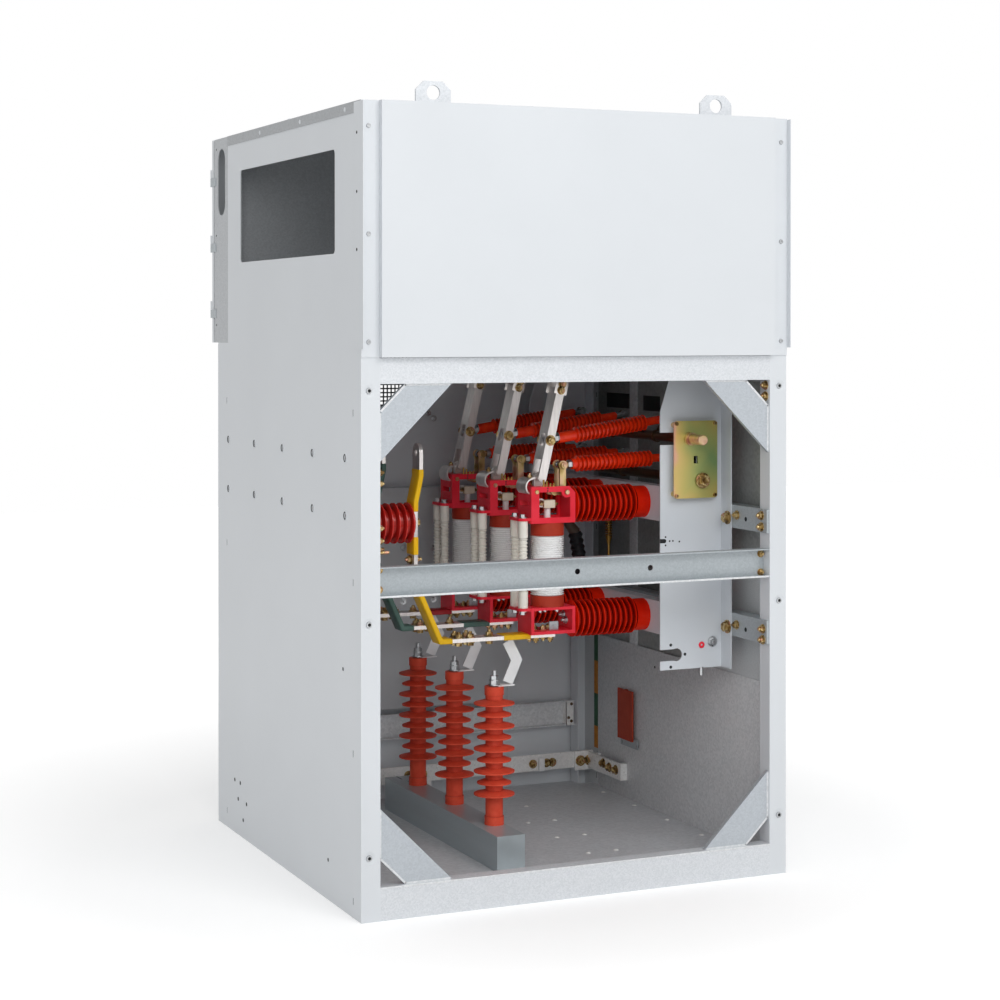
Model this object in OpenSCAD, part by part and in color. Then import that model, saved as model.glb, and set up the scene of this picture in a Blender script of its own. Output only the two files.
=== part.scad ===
// Ring main unit cubicle with a three pole vacuum switch, open at its service side
// +X runs to the switch side, +Y to the operating front, +Z up, floor at z = 0
// A depth is a distance from the service face toward the operating front

/* [Cabinet] */
// Width over the side walls
cab_w = 960; // [940:10:1000]
// Depth from the service face to the front posts
cab_d = 960; // [940:10:1000]
// Height of the roof
cab_h = 1600; // [1570:10:1650]
// Sheet steel thickness
sheet_t = 2.5; // [2:0.5:3]
// Face width and return depth of the corner posts
post_w = 40; // [36:1:44]
// Lowest screw dimple in the service posts
dimple_z = 125; // [110:5:140]
// Spacing of the screw dimples
dimple_pitch = 455; // [440:5:460]
// Screw dimples from the cabinet sides
dimple_set = 17; // [15:1:20]
// Diameter of a screw dimple
dimple_d = 26; // [20:1:28]
// Diameter of the flat inside a dimple
dimple_flat = 14; // [10:1:16]
// Depth of a screw dimple
dimple_t = 1.5; // [1:0.1:1.8]
// Upper side of the floor plate
floor_z = 15; // [12:1:20]
// Thickness of the roof plate
roof_t = 2; // [1.5:0.5:3]
// Height of the roof lips over the walls
roof_lip = 22; // [16:1:30]
// Thickness of lips and strips laid on the walls
lip_t = 1.5; // [1:0.5:2]

/* [Service side rails] */
// Height of the bottom rail
bottom_rail_h = 66; // [50:1:80]
// Underside of the middle rail
mid_rail_z = 630; // [610:5:650]
// Height of the middle rail
mid_rail_h = 60; // [50:1:64]
// Setback of the middle rail web
mid_rail_set = 25; // [18:1:30]
// Diameter of the two holes in the middle rail
mid_hole_d = 12; // [8:1:16]
// Place of the second hole, right of the middle
mid_hole_x = 168; // [120:4:220]
// Underside of the upper rail
upper_rail_z = 1048; // [1040:2:1060]
// Height of the upper rail
upper_rail_h = 51; // [45:1:55]
// Depth of the rail flanges
rail_lip = 30; // [20:1:36]
// Corner to the inner edge of a gusset, along the rail
gusset_in = 54; // [40:1:60]
// Corner to the outer edge of a gusset, along the rail
gusset_out = 154; // [130:1:170]
// Depth of the bent gusset edges
gusset_lip = 10; // [6:1:14]
// Setback of the gussets
gusset_set = 6; // [4:1:8]

/* [Upper cover] */
// Underside of the upper cover
cover_z = 1100; // [1100:1:1110]
// How far the middle of the cover stands out
cover_raise = 15; // [10:1:20]
// Width of the screwed cover flanges
cover_flange = 37; // [30:1:42]
// Width of the side strips on the walls
strip_w = 36; // [30:1:40]
// How far the side strips stand out
strip_out = 16; // [10:1:17]
// Underside of the side strips
strip_z = 1116; // [1110:1:1130]

/* [Lifting lugs] */
// Width of a lug
lug_w = 75; // [60:1:90]
// Height of a lug
lug_h = 45; // [40:1:60]
// Thickness of a lug
lug_t = 5; // [4:0.5:8]
// Diameter of the lug hole
lug_hole = 29; // [20:1:32]
// Corner cut of a lug
lug_cut = 17; // [8:1:20]
// Lugs from the middle plane
lug_x = 320; // [280:5:360]
// Lugs from the roof edges
lug_set = 20; // [12:1:40]
// Length of a lug foot
lug_foot = 30; // [20:1:40]

/* [Side walls] */
// Busbar windows from the service face
window_near = 150; // [140:2:180]
// Busbar windows from the instrument box
window_far = 96; // [80:2:120]
// Height of the busbar windows
window_h = 209; // [180:1:220]
// Busbar windows under the roof
window_drop = 85; // [70:1:100]
// Corner radius of the busbar windows
window_r = 10; // [4:1:20]
// Diameter of the row joining holes
row_hole_d = 9; // [6:1:13]
// First row joining holes from the service face
row_near = 90; // [80:2:100]
// Last row joining holes from the front posts' face
row_far = 82; // [80:1:90]
// Upper hole row under the instrument box
row_drop = 223; // [200:1:240]
// Upper hole row over the lower one
row_gap = 114; // [100:1:130]
// Width of the wall slots
slot_w = 4; // [3:0.5:6]
// Height of the wall slots
slot_h = 14; // [10:1:18]
// Wall slots from the service face
slot_near = 45; // [44:1:54]
// Wall slots from the front posts' face
slot_far = 68; // [60:1:76]

/* [Instrument box] */
// How far the box reaches into the cabinet
box_in = 78; // [74:1:84]
// Depth of the box up to its door
box_d = 108; // [100:1:116]
// Height of the box
box_h = 477; // [470:1:480]
// Gap between the box and its door
door_gap = 6; // [6:0.5:8]
// Thickness of the door tray
door_t = 13; // [12:1:18]
// Width of the oval wire passage
oval_w = 58; // [40:1:60]
// Oval wire passage under the roof
oval_drop = 25; // [20:1:40]
// Height of the oval wire passage
oval_h = 155; // [120:5:160]
// Middle of the oval, from the box start
oval_set = 51; // [40:1:54]
// Radius of the hinge barrels
hinge_r = 8; // [6:0.5:10]
// Diameter of the hinge pins
hinge_pin = 6; // [5:0.5:8]
// Height of a hinge
hinge_h = 40; // [30:1:50]
// Lowest hinge over the underside of the box
hinge_rise = 58; // [40:1:70]
// Spacing of the hinges
hinge_pitch = 155; // [140:1:160]
// Width of a hinge leaf on the door
leaf_w = 34; // [24:1:40]
// Width of a hinge leaf on the box side
leaf_seat = 14; // [10:1:15]

/* [Front panel] */
// Depth of the front panel tray
panel_t = 15; // [10:1:20]
// Underside of the front panel
panel_z = 8; // [5:1:20]
// Gap over and beside the front panel
panel_gap = 4; // [2:1:6]
// Width of the mesh window
mesh_w = 320; // [240:5:330]
// Height of the mesh window
mesh_h = 110; // [80:5:115]
// Mesh window under the instrument box
mesh_drop = 43; // [40:1:60]
// Right edge of the mesh window
mesh_x = -12; // [-40:1:0]
// Thickness of the mesh
mesh_t = 1.2; // [1:0.1:2]
// Underside of the cross channel inside the front
channel_z = 160; // [140:2:180]
// Height of the cross channel
channel_h = 61; // [50:1:70]
// Depth of the cross channel flanges
channel_lip = 20; // [12:1:24]
// Underside of the mechanism plate inside the front
mech_z = 236; // [230:1:250]
// Top of the mechanism plate
mech_top = 770; // [760:1:780]
// Stand-off of the mechanism plate
mech_gap = 28; // [20:1:32]

/* [Switch frame] */
// First phase, as a depth
phase_start = 308; // [304:1:314]
// Last phase from the front posts' face
phase_far = 212; // [206:1:216]
// Near side plate, as a depth
plate_d = 190; // [184:1:194]
// Thickness of the side plates
plate_t = 3; // [2.5:0.5:4]
// Width of the side plates
plate_w = 154; // [150:1:158]
// Underside of the side plates
plate_z = 415; // [400:1:425]
// Top of the side plates
plate_top = 1075; // [1070:1:1085]
// Start of the slanted upper edge
slant_z = 976; // [965:1:985]
// How far the slant runs in
slant_x = 32; // [24:1:36]
// Width of the side plate flanges
plate_flange = 42; // [30:1:50]
// Left face of the two beams from the left plate edge
beam_set = 21; // [19:1:24]
// Height of the upper beam
beam_upper_h = 76; // [70:1:78]
// Underside of the upper beam
beam_upper_z = 735; // [730:1:736]
// Height of the lower beam
beam_lower_h = 72; // [66:1:76]
// Underside of the lower beam
beam_lower_z = 487; // [480:1:490]
// Depth of the beam flanges
beam_flange = 32; // [26:1:34]
// Height of the upper wall rail
wall_rail_upper_h = 50; // [46:1:56]
// Underside of the upper wall rail
wall_rail_upper_z = 723; // [715:1:728]
// Height of the lower wall rail
wall_rail_lower_h = 50; // [46:1:56]
// Underside of the lower wall rail
wall_rail_lower_z = 488; // [480:1:494]
// Flanges of the wall rails
wall_rail_lip = 28; // [20:1:32]
// Radius of the notch in the lower plate edge
key_notch_r = 14; // [10:1:16]
// Middle of that notch over the plate edge
key_notch_z = 32; // [30:1:36]
// Middle of that notch from the left plate edge
key_notch_x = 40; // [36:1:44]

/* [Bearing plate] */
// Width of the bearing plate
bearing_w = 107; // [100:1:112]
// Height of the bearing plate
bearing_h = 168; // [160:1:176]
// Corner radius of the bearing plate
bearing_r = 8; // [4:1:9]
// Stand-off of the bearing plate
bearing_gap = 17; // [14:1:20]
// Diameter of its spacers
spacer_d = 12; // [8:1:14]
// Spacers from the plate edges
spacer_set = 9; // [8:1:12]
// Left edge of the bearing plate from the side plate edge
bearing_set = 23; // [20:1:26]
// Underside of the bearing plate
bearing_z = 788; // [782:1:792]
// Width of the slot between the two shafts
bearing_slot_w = 10; // [8:1:12]
// Height of the slot between the two shafts
bearing_slot_h = 16; // [14:1:20]

/* [Poles] */
// Length of the pole frames
frame_l = 105; // [102:1:108]
// Depth of the pole frames
frame_d = 70; // [68:1:74]
// Wall thickness of the pole frames
frame_t = 7; // [6:0.5:8]
// Underside of the upper frames
upper_frame_z = 736; // [735:1:737]
// Height of the upper frames
upper_frame_h = 79; // [78:1:80]
// Thickness of the frame flanges
frame_flange_t = 6; // [5:0.5:7]
// Upper flange over the underside of its frame
flange_rise = 6; // [4:1:8]
// How far the upper flange reaches left of the frame
upper_flange_out = 26; // [24:1:27]
// Underside of the lower frames
lower_frame_z = 496; // [494:1:498]
// Height of the lower frames
lower_frame_h = 58; // [56:1:60]
// How far the lower flange reaches left of the frame
lower_flange_out = 26; // [24:1:27]
// Bars left round the frame windows
frame_bar = 12; // [10:1:14]
// Bar left of the frame windows
frame_left_bar = 19; // [16:1:22]
// Width of the slot in the left web of the upper frames
web_slot_w = 46; // [40:1:50]
// Height of the slot in the left web of the upper frames
web_slot_h = 11; // [9:1:13]
// Slot above the underside of the upper frames
web_slot_rise = 37; // [34:1:42]
// Boss radius round the crank pin in the frame windows
pin_boss = 12; // [10:1:14]
// Corner cut of the upper frames
frame_cut = 14; // [10:1:16]
// Interrupter axis from the frame face
pole_set = 54; // [50:1:56]
// Diameter over the interrupter ribs
interrupter_d = 73; // [70:1:76]
// Depth of the interrupter ribs
interrupter_rib = 3.5; // [2.5:0.5:4]
// Number of ribs on an interrupter
interrupter_ribs = 28; // [24:1:30]
// Height of the upper interrupter cap
cap_upper_h = 28; // [24:1:32]
// Height of the lower interrupter cap
cap_lower_h = 24; // [20:1:28]
// Diameter of the insulating posts
stay_d = 21; // [19:1:22]
// Insulating posts from the middle of the pole
stay_gap = 20.5; // [18:0.5:24]
// Insulating posts left of the frame face
stay_set = 13; // [12:1:16]
// Depth of the post fins
stay_fin = 2.5; // [1.5:0.5:3]
// Number of fins on a post
stay_fins = 15; // [12:1:16]
// Smooth ends of a post
stay_end = 36; // [30:1:42]
// Diameter of the moving stem
stem_d = 14; // [10:1:16]
// Length of the moving stem
stem_h = 25; // [22:1:26]
// Width of the stem block
block_w = 26; // [22:1:28]
// Height of the stem block
block_h = 17; // [14:1:18]

/* [Insulators] */
// Length of the pole insulators
insulator_l = 185; // [182:1:188]
// Diameter over the sheds of the pole insulators
insulator_d = 80; // [76:1:82]
// Core diameter of the pole insulators
insulator_core = 60; // [56:1:64]
// Length of the insulator base cap
insulator_cap = 31; // [24:1:36]
// Diameter of the insulator base cap
insulator_cap_d = 70; // [66:1:74]
// Number of sheds on a pole insulator
insulator_sheds = 12; // [10:1:14]
// Diameter over the sheds of the wall insulators
support_d = 86; // [76:1:92]
// Core diameter of the wall insulators
support_core = 60; // [50:1:66]
// Number of sheds on a wall insulator
support_sheds = 14; // [10:1:16]

/* [Isolating blades] */
// Blade pivot from the frame face
blade_px = 33; // [31:0.5:35]
// Blade pivot over the pole frame
blade_pz = 17; // [16.5:0.5:19]
// Blade length over the pivot
blade_l = 236; // [228:1:240]
// Lean of the closed blades to the switch side
blade_lean = 13; // [12:0.5:14]
// Width of a blade bar
blade_w = 19; // [18:1:20]
// Thickness of a blade bar
blade_t = 6; // [5:0.5:7]
// Clear gap between the two bars of a blade
blade_gap = 30; // [30:1:32]
// Thickness of the web that joins the two bars
blade_web_t = 3; // [2:0.5:4]
// Start of the web from the blade pivot
blade_web_low = 40; // [36:1:44]
// End of the web under the blade top
blade_web_drop = 36; // [34:1:44]
// Rod pin from the blade pivot, along the blade
blade_pin_l = 84; // [82:1:86]
// Diameter of the blade pins
pin_d = 10; // [8:0.5:11]
// Thickness of the hinge tongue
tongue_t = 10; // [8:1:14]
// Radius of the hinge tongue
tongue_r = 13; // [12:0.5:14]
// Radius of the curved hinge strap
strap_r = 19; // [18:0.5:20]
// Middle of the hinge strap right of the frame face
strap_in = 10; // [8:1:12]
// Width of the curved hinge strap
strap_w = 50; // [44:1:54]
// Thickness of the curved hinge strap
strap_t = 3; // [2:0.5:4]

/* [Linkage] */
// Isolator shaft from the left plate edge
iso_x = 61; // [60:0.5:62]
// Height of the isolator shaft
iso_z = 917; // [916:0.5:918]
// Isolator crank tip right of its shaft
iso_tip_x = 26; // [25:0.5:27]
// Isolator crank tip over its shaft
iso_tip_z = 40; // [39:0.5:41]
// Drive shaft from the left plate edge
drive_x = 92; // [91:0.5:93]
// Height of the drive shaft
drive_z = 826; // [825:0.5:827]
// Drive crank tip left of its shaft
drive_tip_x = 2; // [1:0.5:3]
// Drive crank tip over its shaft
drive_tip_z = 44; // [43:0.5:45]
// Diameter of the two shafts
shaft_d = 22; // [20:1:24]
// Shaft end standing out of the bearing plate
shaft_out = 60; // [50:1:66]
// Radius of the crank hubs
hub_r = 14; // [13:0.5:15]
// Radius of the crank and rod eyes
eye_r = 9; // [8:0.5:10]
// Thickness of the rod eyes
eye_t = 8; // [6:0.5:9]
// Thickness of the cranks
crank_t = 6; // [5:0.5:7]
// Clear gap beside the moving cranks
run_gap = 5; // [5:0.5:6]
// Bell crank pivot from the frame face
bell_px = 85; // [84:0.5:86]
// Bell crank pivot under the frame top
bell_pz = 13; // [12.5:0.5:13.5]
// Bell crank tip right of its pivot
bell_tip_x = 0; // [-1:0.5:2]
// Bell crank tip over its pivot
bell_tip_z = 57; // [56:0.5:58]
// Short arm of the bell crank
bell_arm = 20; // [16:1:22]
// Diameter over the rod ribs
rod_d = 35; // [32:1:38]
// Core diameter of the rods
rod_core = 24; // [22:1:26]
// Diameter of the rod end pieces
rod_end_d = 12; // [10:1:14]
// Ribs on a rod
rod_ribs = 18; // [14:1:20]
// Metal end of a rod at its left eye
rod_left = 27; // [24:1:30]
// Metal end of a rod at its right eye
rod_right = 24; // [22:1:28]
// Smooth collar of a pull rod at its left end
pull_collar = 40; // [30:1:46]
// Smooth collar of a drive rod at its left end
drive_collar = 8; // [4:1:14]
// Smooth tail of a pull rod at its right end
pull_tail = 38; // [30:1:42]
// Smooth tail of a drive rod at its right end
drive_tail = 26; // [20:1:32]
// Diameter of the smooth rod tails
rod_tail_d = 18; // [14:1:20]

/* [Busbars and contacts] */
// Width of a busbar
bar_w = 40; // [30:1:44]
// Thickness of a busbar
bar_t = 8; // [6:0.5:8]
// Right end of the busbars from the frame end
bar_set = 41; // [34:1:46]
// Lower bend of the busbars
bar_bend = -192; // [-200:1:-184]
// Upright run of the busbars
bar_x = -250; // [-260:1:-245]
// Start of the upright run
bar_rise_z = 620; // [610:1:626]
// Start of the jog
bar_jog_z = 790; // [780:1:800]
// Height of the jog
bar_jog_h = 55; // [45:1:65]
// Width of the jog
bar_jog = 12; // [10:1:16]
// Top end of the busbars
bar_top = 914; // [900:1:930]
// Diameter of the hole at the top of a busbar
bar_hole_d = 13; // [9:1:17]
// Height of the wall insulators
support_z = 746; // [736:1:756]
// Partition under the busbar chamber
partition_z = 1150; // [1145:1:1170]
// Diameter of the contact bushings
bushing_d = 62; // [50:1:70]
// Length of the contact bushings
bushing_h = 44; // [36:1:46]
// Length of the fixed contacts
contact_h = 62; // [54:1:66]
// Width of the fixed contacts
contact_w = 40; // [30:1:44]
// Thickness of the fixed contacts
contact_t = 8; // [6:1:12]

/* [Surge arresters] */
// Row of arresters
arrester_x = -61; // [-66:1:-56]
// Middle of the base channel
base_x = -72; // [-74:1:-68]
// Width of the base channel
base_w = 64; // [62:1:70]
// Height of the base channel
base_h = 75; // [66:1:84]
// Near end of the base channel, as a depth
base_d = 195; // [185:1:205]
// Far end of the base channel from the front posts' face
base_far = 110; // [90:1:120]
// Height of an arrester body
arrester_h = 297; // [280:1:310]
// Large shed diameter
arrester_d = 88; // [80:1:92]
// Small shed diameter
arrester_small = 74; // [66:1:80]
// Arrester core diameter
arrester_core = 38; // [34:1:40]
// Diameter of the arrester end cuffs
arrester_cuff_d = 42; // [40:1:44]
// Height of the arrester end cuffs
arrester_cuff_h = 18; // [12:1:20]
// Sheds on an arrester
arrester_sheds = 9; // [7:2:11]
// Plain collar under the sheds
arrester_foot = 54; // [48:1:60]
// Plain collar over the sheds
arrester_head = 24; // [21:1:30]
// Diameter of the terminal stud
stud_d = 10; // [8:1:12]
// Length of the terminal stud
stud_h = 34; // [28:1:38]
// Width of the connecting straps
tail_w = 24; // [20:1:26]
// How far the connecting straps bend out
tail_reach = 53; // [50:1:58]
// Thickness of the connecting straps
tail_t = 2; // [1.5:0.5:3]

/* [Earthing and heater] */
// Height of the earth bar
earth_h = 40; // [30:1:44]
// Thickness of the earth bar
earth_t = 5; // [4:0.5:6]
// Underside of the earth bar
earth_z = 58; // [50:1:66]
// Length of the earth bar along the front
earth_l = 730; // [680:10:760]
// Length of the earth bar along the wall
earth_side_l = 180; // [140:5:200]
// Stand-off of the earth bars
earth_gap = 14; // [10:1:18]
// Width of the earth strap
earth_strap_w = 20; // [14:1:24]
// Height of the earth strap
earth_strap_h = 380; // [340:5:420]
// Width of the heater plate
heater_w = 76; // [60:1:84]
// Height of the heater plate
heater_h = 121; // [100:1:130]
// Thickness of the heater plate
heater_t = 4; // [3:0.5:6]
// Underside of the heater plate
heater_z = 159; // [150:1:170]
// Heater plate from the front posts' face
heater_set = 207; // [200:1:220]

/* [Hidden] */
$fn = 48;
cut = 1;
fit = 0.6;
half_w = cab_w / 2;
inner_w = half_w - post_w;
box_start = cab_d - box_in;
box_z = cab_h - box_h;
window_l = box_start - window_near - window_far;
window_z = cab_h - window_drop - window_h;
row_steps = 4;
row_pitch = (cab_d - row_near - row_far) / row_steps;
row_z = box_z - row_drop - row_gap;
near_slot_shares = [0.029, 0.287, 0.586, 0.882];
far_slot_shares = [0.034, 0.588, 0.881];
oval_z = cab_h - oval_drop - oval_h;
hinge_z = box_z + hinge_rise;
mesh_z = box_z - mesh_drop - mesh_h;
wall_h = cab_h - roof_t;
cover_out = cover_raise + sheet_t;
door_start = box_start + box_d + door_gap;
door_front = door_start + door_t;
leaf_t = lip_t;
hinge_sink = leaf_t - fit;
hinge_d = door_front + leaf_t + hinge_r - hinge_sink;
hinge_x = -half_w - leaf_t + hinge_r;
total_d = cover_out + hinge_d + hinge_r;
service_y = cover_out - total_d / 2;
plate_right = inner_w - 2 * plate_t;
plate_x = plate_right - plate_w;
beam_x = plate_x + beam_set;
phase_pitch = (cab_d - phase_start - phase_far) / 2;
far_plate_d = 2 * phase_start + 2 * phase_pitch - plate_d - plate_t;
frame_right = beam_x - insulator_l;
frame_x = frame_right - frame_l;
frame_top = upper_frame_z + upper_frame_h;
lower_frame_top = lower_frame_z + lower_frame_h;
pole_x = frame_x + pole_set;
upper_axis_z = beam_upper_z + beam_upper_h / 2;
lower_axis_z = beam_lower_z + beam_lower_h / 2;
cap_upper_z = upper_frame_z - cap_upper_h;
ceramic_z = lower_frame_top + cap_lower_h;
flange_z = upper_frame_z + flange_rise;
stay_h = flange_z - lower_frame_top;
strap_x = frame_x + strap_in;
blade_x = frame_x + blade_px;
blade_z = frame_top + blade_pz;
pin_x = blade_x + blade_pin_l * sin(blade_lean);
pin_z = blade_z + blade_pin_l * cos(blade_lean);
shaft_x = plate_x + iso_x;
tip_x = shaft_x + iso_tip_x;
tip_z = iso_z + iso_tip_z;
drive_shaft_x = plate_x + drive_x;
drive_tip_px = drive_shaft_x - drive_tip_x;
drive_tip_pz = drive_z + drive_tip_z;
bell_x = frame_x + bell_px;
bell_z = frame_top - bell_pz;
bell_end_x = bell_x + bell_tip_x;
bell_end_z = bell_z + bell_tip_z;
crank_off = eye_t / 2 + run_gap;
web_share = 0.8;
web_w = 2 * eye_r * web_share;
bar_right = frame_right - bar_set;
bar_z = lower_frame_z - bar_t / 2;
base_z = floor_z + base_h;
base_l = cab_d - base_d - base_far;
heater_d = cab_d - heater_set - heater_w;
arrester_top = base_z + arrester_h;
contact_x = blade_x + (upper_rail_z - blade_z) * tan(blade_lean);

// Box between two widths, two depths and two heights
module block(x, d, z) {
    translate([x[0], service_y + d[0], z[0]])
        cube([x[1] - x[0], d[1] - d[0], z[1] - z[0]]);
}

// Flat shape drawn in width and height, with its thickness running in depth
module along_depth(d, t) {
    translate([0, service_y + d + t, 0])
        rotate([90, 0, 0])
            linear_extrude(t)
                children();
}

// Flat shape drawn in depth and height, with its thickness running in width
module along_width(x, t) {
    translate([x, service_y, 0])
        rotate([90, 0, 90])
            linear_extrude(t)
                children();
}

// Round bar running in depth
module depth_bar(x, z, d0, d1, dia) {
    along_depth(d0, d1 - d0)
        translate([x, z])
            circle(d = dia);
}

// Rectangle with round corners
module round_rect(w, h, r) {
    translate([r, 0])
        square([w - 2 * r, h]);
    translate([0, r])
        square([w, h - 2 * r]);
    for (x = [r, w - r])
        for (y = [r, h - r])
            translate([x, y])
                circle(r);
}

// Flat link with two round ends
module link(a, b, r0, r1, w) {
    len = norm(b - a);
    turn = atan2(b[1] - a[1], b[0] - a[0]);
    translate(a)
        circle(r0);
    translate(b)
        circle(r1);
    translate(a)
        rotate(turn)
            translate([0, -w / 2])
                square([len, w]);
}

// Unit normal to the left of the way from a to b
function side_of(a, b) =
    let (u = (b - a) / norm(b - a))
    [-u[1], u[0]];

// Mitred point at a distance beside a row of points
function beside(points, i, off) =
    let (last = len(points) - 1)
    let (n = side_of(points[max(i - 1, 0)], points[max(i, 1)]))
    let (m = side_of(points[min(i, last - 1)], points[min(i + 1, last)]))
    points[i] + off * (n + m) / (1 + n * m);

// Strip of one thickness along a row of points
module strip(points, t) {
    last = len(points) - 1;
    polygon(concat([for (i = [0:last]) beside(points, i, t / 2)],
        [for (i = [last:-1:0]) beside(points, i, -t / 2)]));
}

// Half outline of a ribbed bar, from height a to height b
function ribs(count, a, b, core, tip) =
    let (p = (b - a) / count)
    [for (i = [0:count - 1])
        each [[core, a + i * p], [core, a + (i + rib_root) * p], [tip, a + (i + rib_edge) * p],
            [tip, a + (i + 1 - rib_edge) * p], [core, a + (i + 1 - rib_root) * p]]];
rib_root = 0.26;
rib_edge = 0.42;

// Places its children at each phase
module phases() {
    for (i = [0:2])
        translate([0, service_y + phase_start + i * phase_pitch, 0])
            children();
}

// Flat shape centred on a phase, with its thickness in depth starting at an offset
module on_phase(off, t) {
    translate([0, off + t, 0])
        rotate([90, 0, 0])
            linear_extrude(t)
                children();
}

// Side wall with its busbar window, row joining holes and slots
module side_wall(x) {
    along_width(x, sheet_t)
        difference() {
            polygon([[sheet_t, 0], [cab_d, 0], [cab_d, box_z], [box_start, box_z],
                [box_start, wall_h], [sheet_t, wall_h]]);
            translate([window_near, window_z])
                round_rect(window_l, window_h, window_r);
            for (i = [0:row_steps])
                for (z = [row_z, row_z + row_gap])
                    translate([row_near + i * row_pitch, z])
                        circle(d = row_hole_d);
            for (share = near_slot_shares)
                translate([slot_near, share * box_z])
                    square([slot_w, slot_h], center = true);
            for (share = far_slot_shares)
                translate([cab_d - slot_far, share * box_z])
                    square([slot_w, slot_h], center = true);
        }
}

module side_panel_left() {
    color("lightgray")
        side_wall(-half_w);
}

module side_panel_right() {
    color("lightgray")
        side_wall(half_w - sheet_t);
}

module floor_plate() {
    inside = half_w - sheet_t;
    near = rail_lip + sheet_t;
    far = cab_d - sheet_t;
    color("gray")
        difference() {
            block([-inside, inside], [near, far], [0, floor_z]);
            block([-inside + sheet_t, inside - sheet_t], [near + sheet_t, far - sheet_t],
                [-cut, floor_z - sheet_t]);
            for (s = [-1, 1])
                for (d = [0, cab_d - post_w])
                    translate([s * half_w, service_y + d + post_w / 2, floor_z / 2])
                        cube([2 * post_w, post_w, floor_z + 2 * cut], center = true);
        }
}

module roof_panel() {
    out = half_w + lip_t;
    color("whitesmoke") {
        block([-out, out], [0, box_start], [wall_h, cab_h]);
        for (x = [-out, half_w])
            block([x, x + lip_t], [strip_w, box_start], [cab_h - roof_lip, wall_h]);
    }
}

// Plan of a folded post at the left service corner
module post_plan() {
    square([post_w, sheet_t]);
    translate([post_w - sheet_t, 0])
        square([sheet_t, post_w]);
}

// Folded post at the left service corner with its screw dimples
module service_post() {
    difference() {
        translate([-half_w, service_y, 0])
            linear_extrude(wall_h)
                post_plan();
        for (i = [0:2])
            translate([dimple_set - half_w, service_y, dimple_z + i * dimple_pitch])
                rotate([-90, 0, 0])
                    cylinder(d1 = dimple_d, d2 = dimple_flat, h = dimple_t);
    }
}

module service_posts() {
    color("whitesmoke")
        for (s = [0, 1])
            mirror([s, 0, 0])
                service_post();
}

module front_posts() {
    color("lightgray")
        for (s = [0, 1])
            mirror([s, 0, 0]) {
                block([sheet_t - half_w, -inner_w], [cab_d - sheet_t, cab_d], [0, box_z]);
                block([-inner_w - sheet_t, -inner_w], [cab_d - post_w, cab_d], [0, box_z]);
            }
}

// Channel with its web at the service face
module service_channel(z, h) {
    block([-inner_w, inner_w], [0, sheet_t], [z, z + h]);
    for (e = [z, z + h - sheet_t])
        block([-inner_w, inner_w], [0, rail_lip], [e, e + sheet_t]);
}

module bottom_rail() {
    color("gainsboro")
        service_channel(0, bottom_rail_h);
}

module upper_rail() {
    color("gainsboro")
        service_channel(upper_rail_z, upper_rail_h);
}

module middle_rail() {
    top = mid_rail_z + mid_rail_h;
    color("silver")
        difference() {
            union() {
                block([-inner_w, inner_w], [mid_rail_set, mid_rail_set + sheet_t],
                    [mid_rail_z, top]);
                for (e = [mid_rail_z, top - sheet_t])
                    block([-inner_w, inner_w], [sheet_t, mid_rail_set + sheet_t],
                        [e, e + sheet_t]);
            }
            for (x = [0, mid_hole_x])
                depth_bar(x, mid_rail_z + mid_rail_h / 2, mid_rail_set - cut,
                    mid_rail_set + sheet_t + cut, mid_hole_d);
        }
}

// Diagonal band between two distances from a corner
module band(a, b) {
    polygon([[0, a], [a, 0], [b, 0], [0, b]]);
}

module gusset() {
    fold = sheet_t * sqrt(2);
    along_depth(gusset_set, sheet_t)
        band(gusset_in, gusset_out);
    along_depth(gusset_set, gusset_lip)
        band(gusset_in, gusset_in + fold);
    along_depth(gusset_set, gusset_lip)
        band(gusset_out - fold, gusset_out);
}

module corner_gussets() {
    color("lightsteelblue")
        for (s = [0, 1])
            mirror([s, 0, 0]) {
                translate([-inner_w, 0, bottom_rail_h])
                    gusset();
                translate([-inner_w, 0, upper_rail_z])
                    mirror([0, 0, 1])
                        gusset();
            }
}

module upper_cover() {
    edge = half_w - cover_flange;
    color("whitesmoke") {
        block([-edge, edge], [-cover_out, -cover_raise], [cover_z, cab_h]);
        for (z = [cover_z, cab_h - sheet_t])
            block([-edge, edge], [-cover_out, 0], [z, z + sheet_t]);
        for (s = [0, 1])
            mirror([s, 0, 0]) {
                block([edge - sheet_t, edge], [-cover_out, 0], [cover_z, cab_h]);
                block([edge - sheet_t, half_w], [-sheet_t, 0], [cover_z, cab_h]);
            }
    }
}

module cover_side_strips() {
    color("whitesmoke")
        for (x = [-half_w - lip_t, half_w])
            block([x, x + lip_t], [-strip_out, strip_w], [strip_z, wall_h]);
}

// Lifting lug standing on the roof, its foot running in depth
module lug() {
    along_depth(0, lug_t)
        difference() {
            polygon([[-lug_w / 2, 0], [lug_w / 2, 0], [lug_w / 2, lug_h - lug_cut],
                [lug_w / 2 - lug_cut, lug_h], [lug_cut - lug_w / 2, lug_h],
                [-lug_w / 2, lug_h - lug_cut]]);
            translate([0, lug_h / 2])
                circle(d = lug_hole);
        }
    block([-lug_w / 2, lug_w / 2], [0, lug_foot], [0, lug_t]);
}

module lifting_lugs() {
    color("gainsboro")
        for (x = [-lug_x, lug_x]) {
            translate([x, lug_set, cab_h])
                lug();
            translate([x, 2 * service_y + box_start - lug_set, cab_h])
                mirror([0, 1, 0])
                    lug();
        }
}

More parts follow.
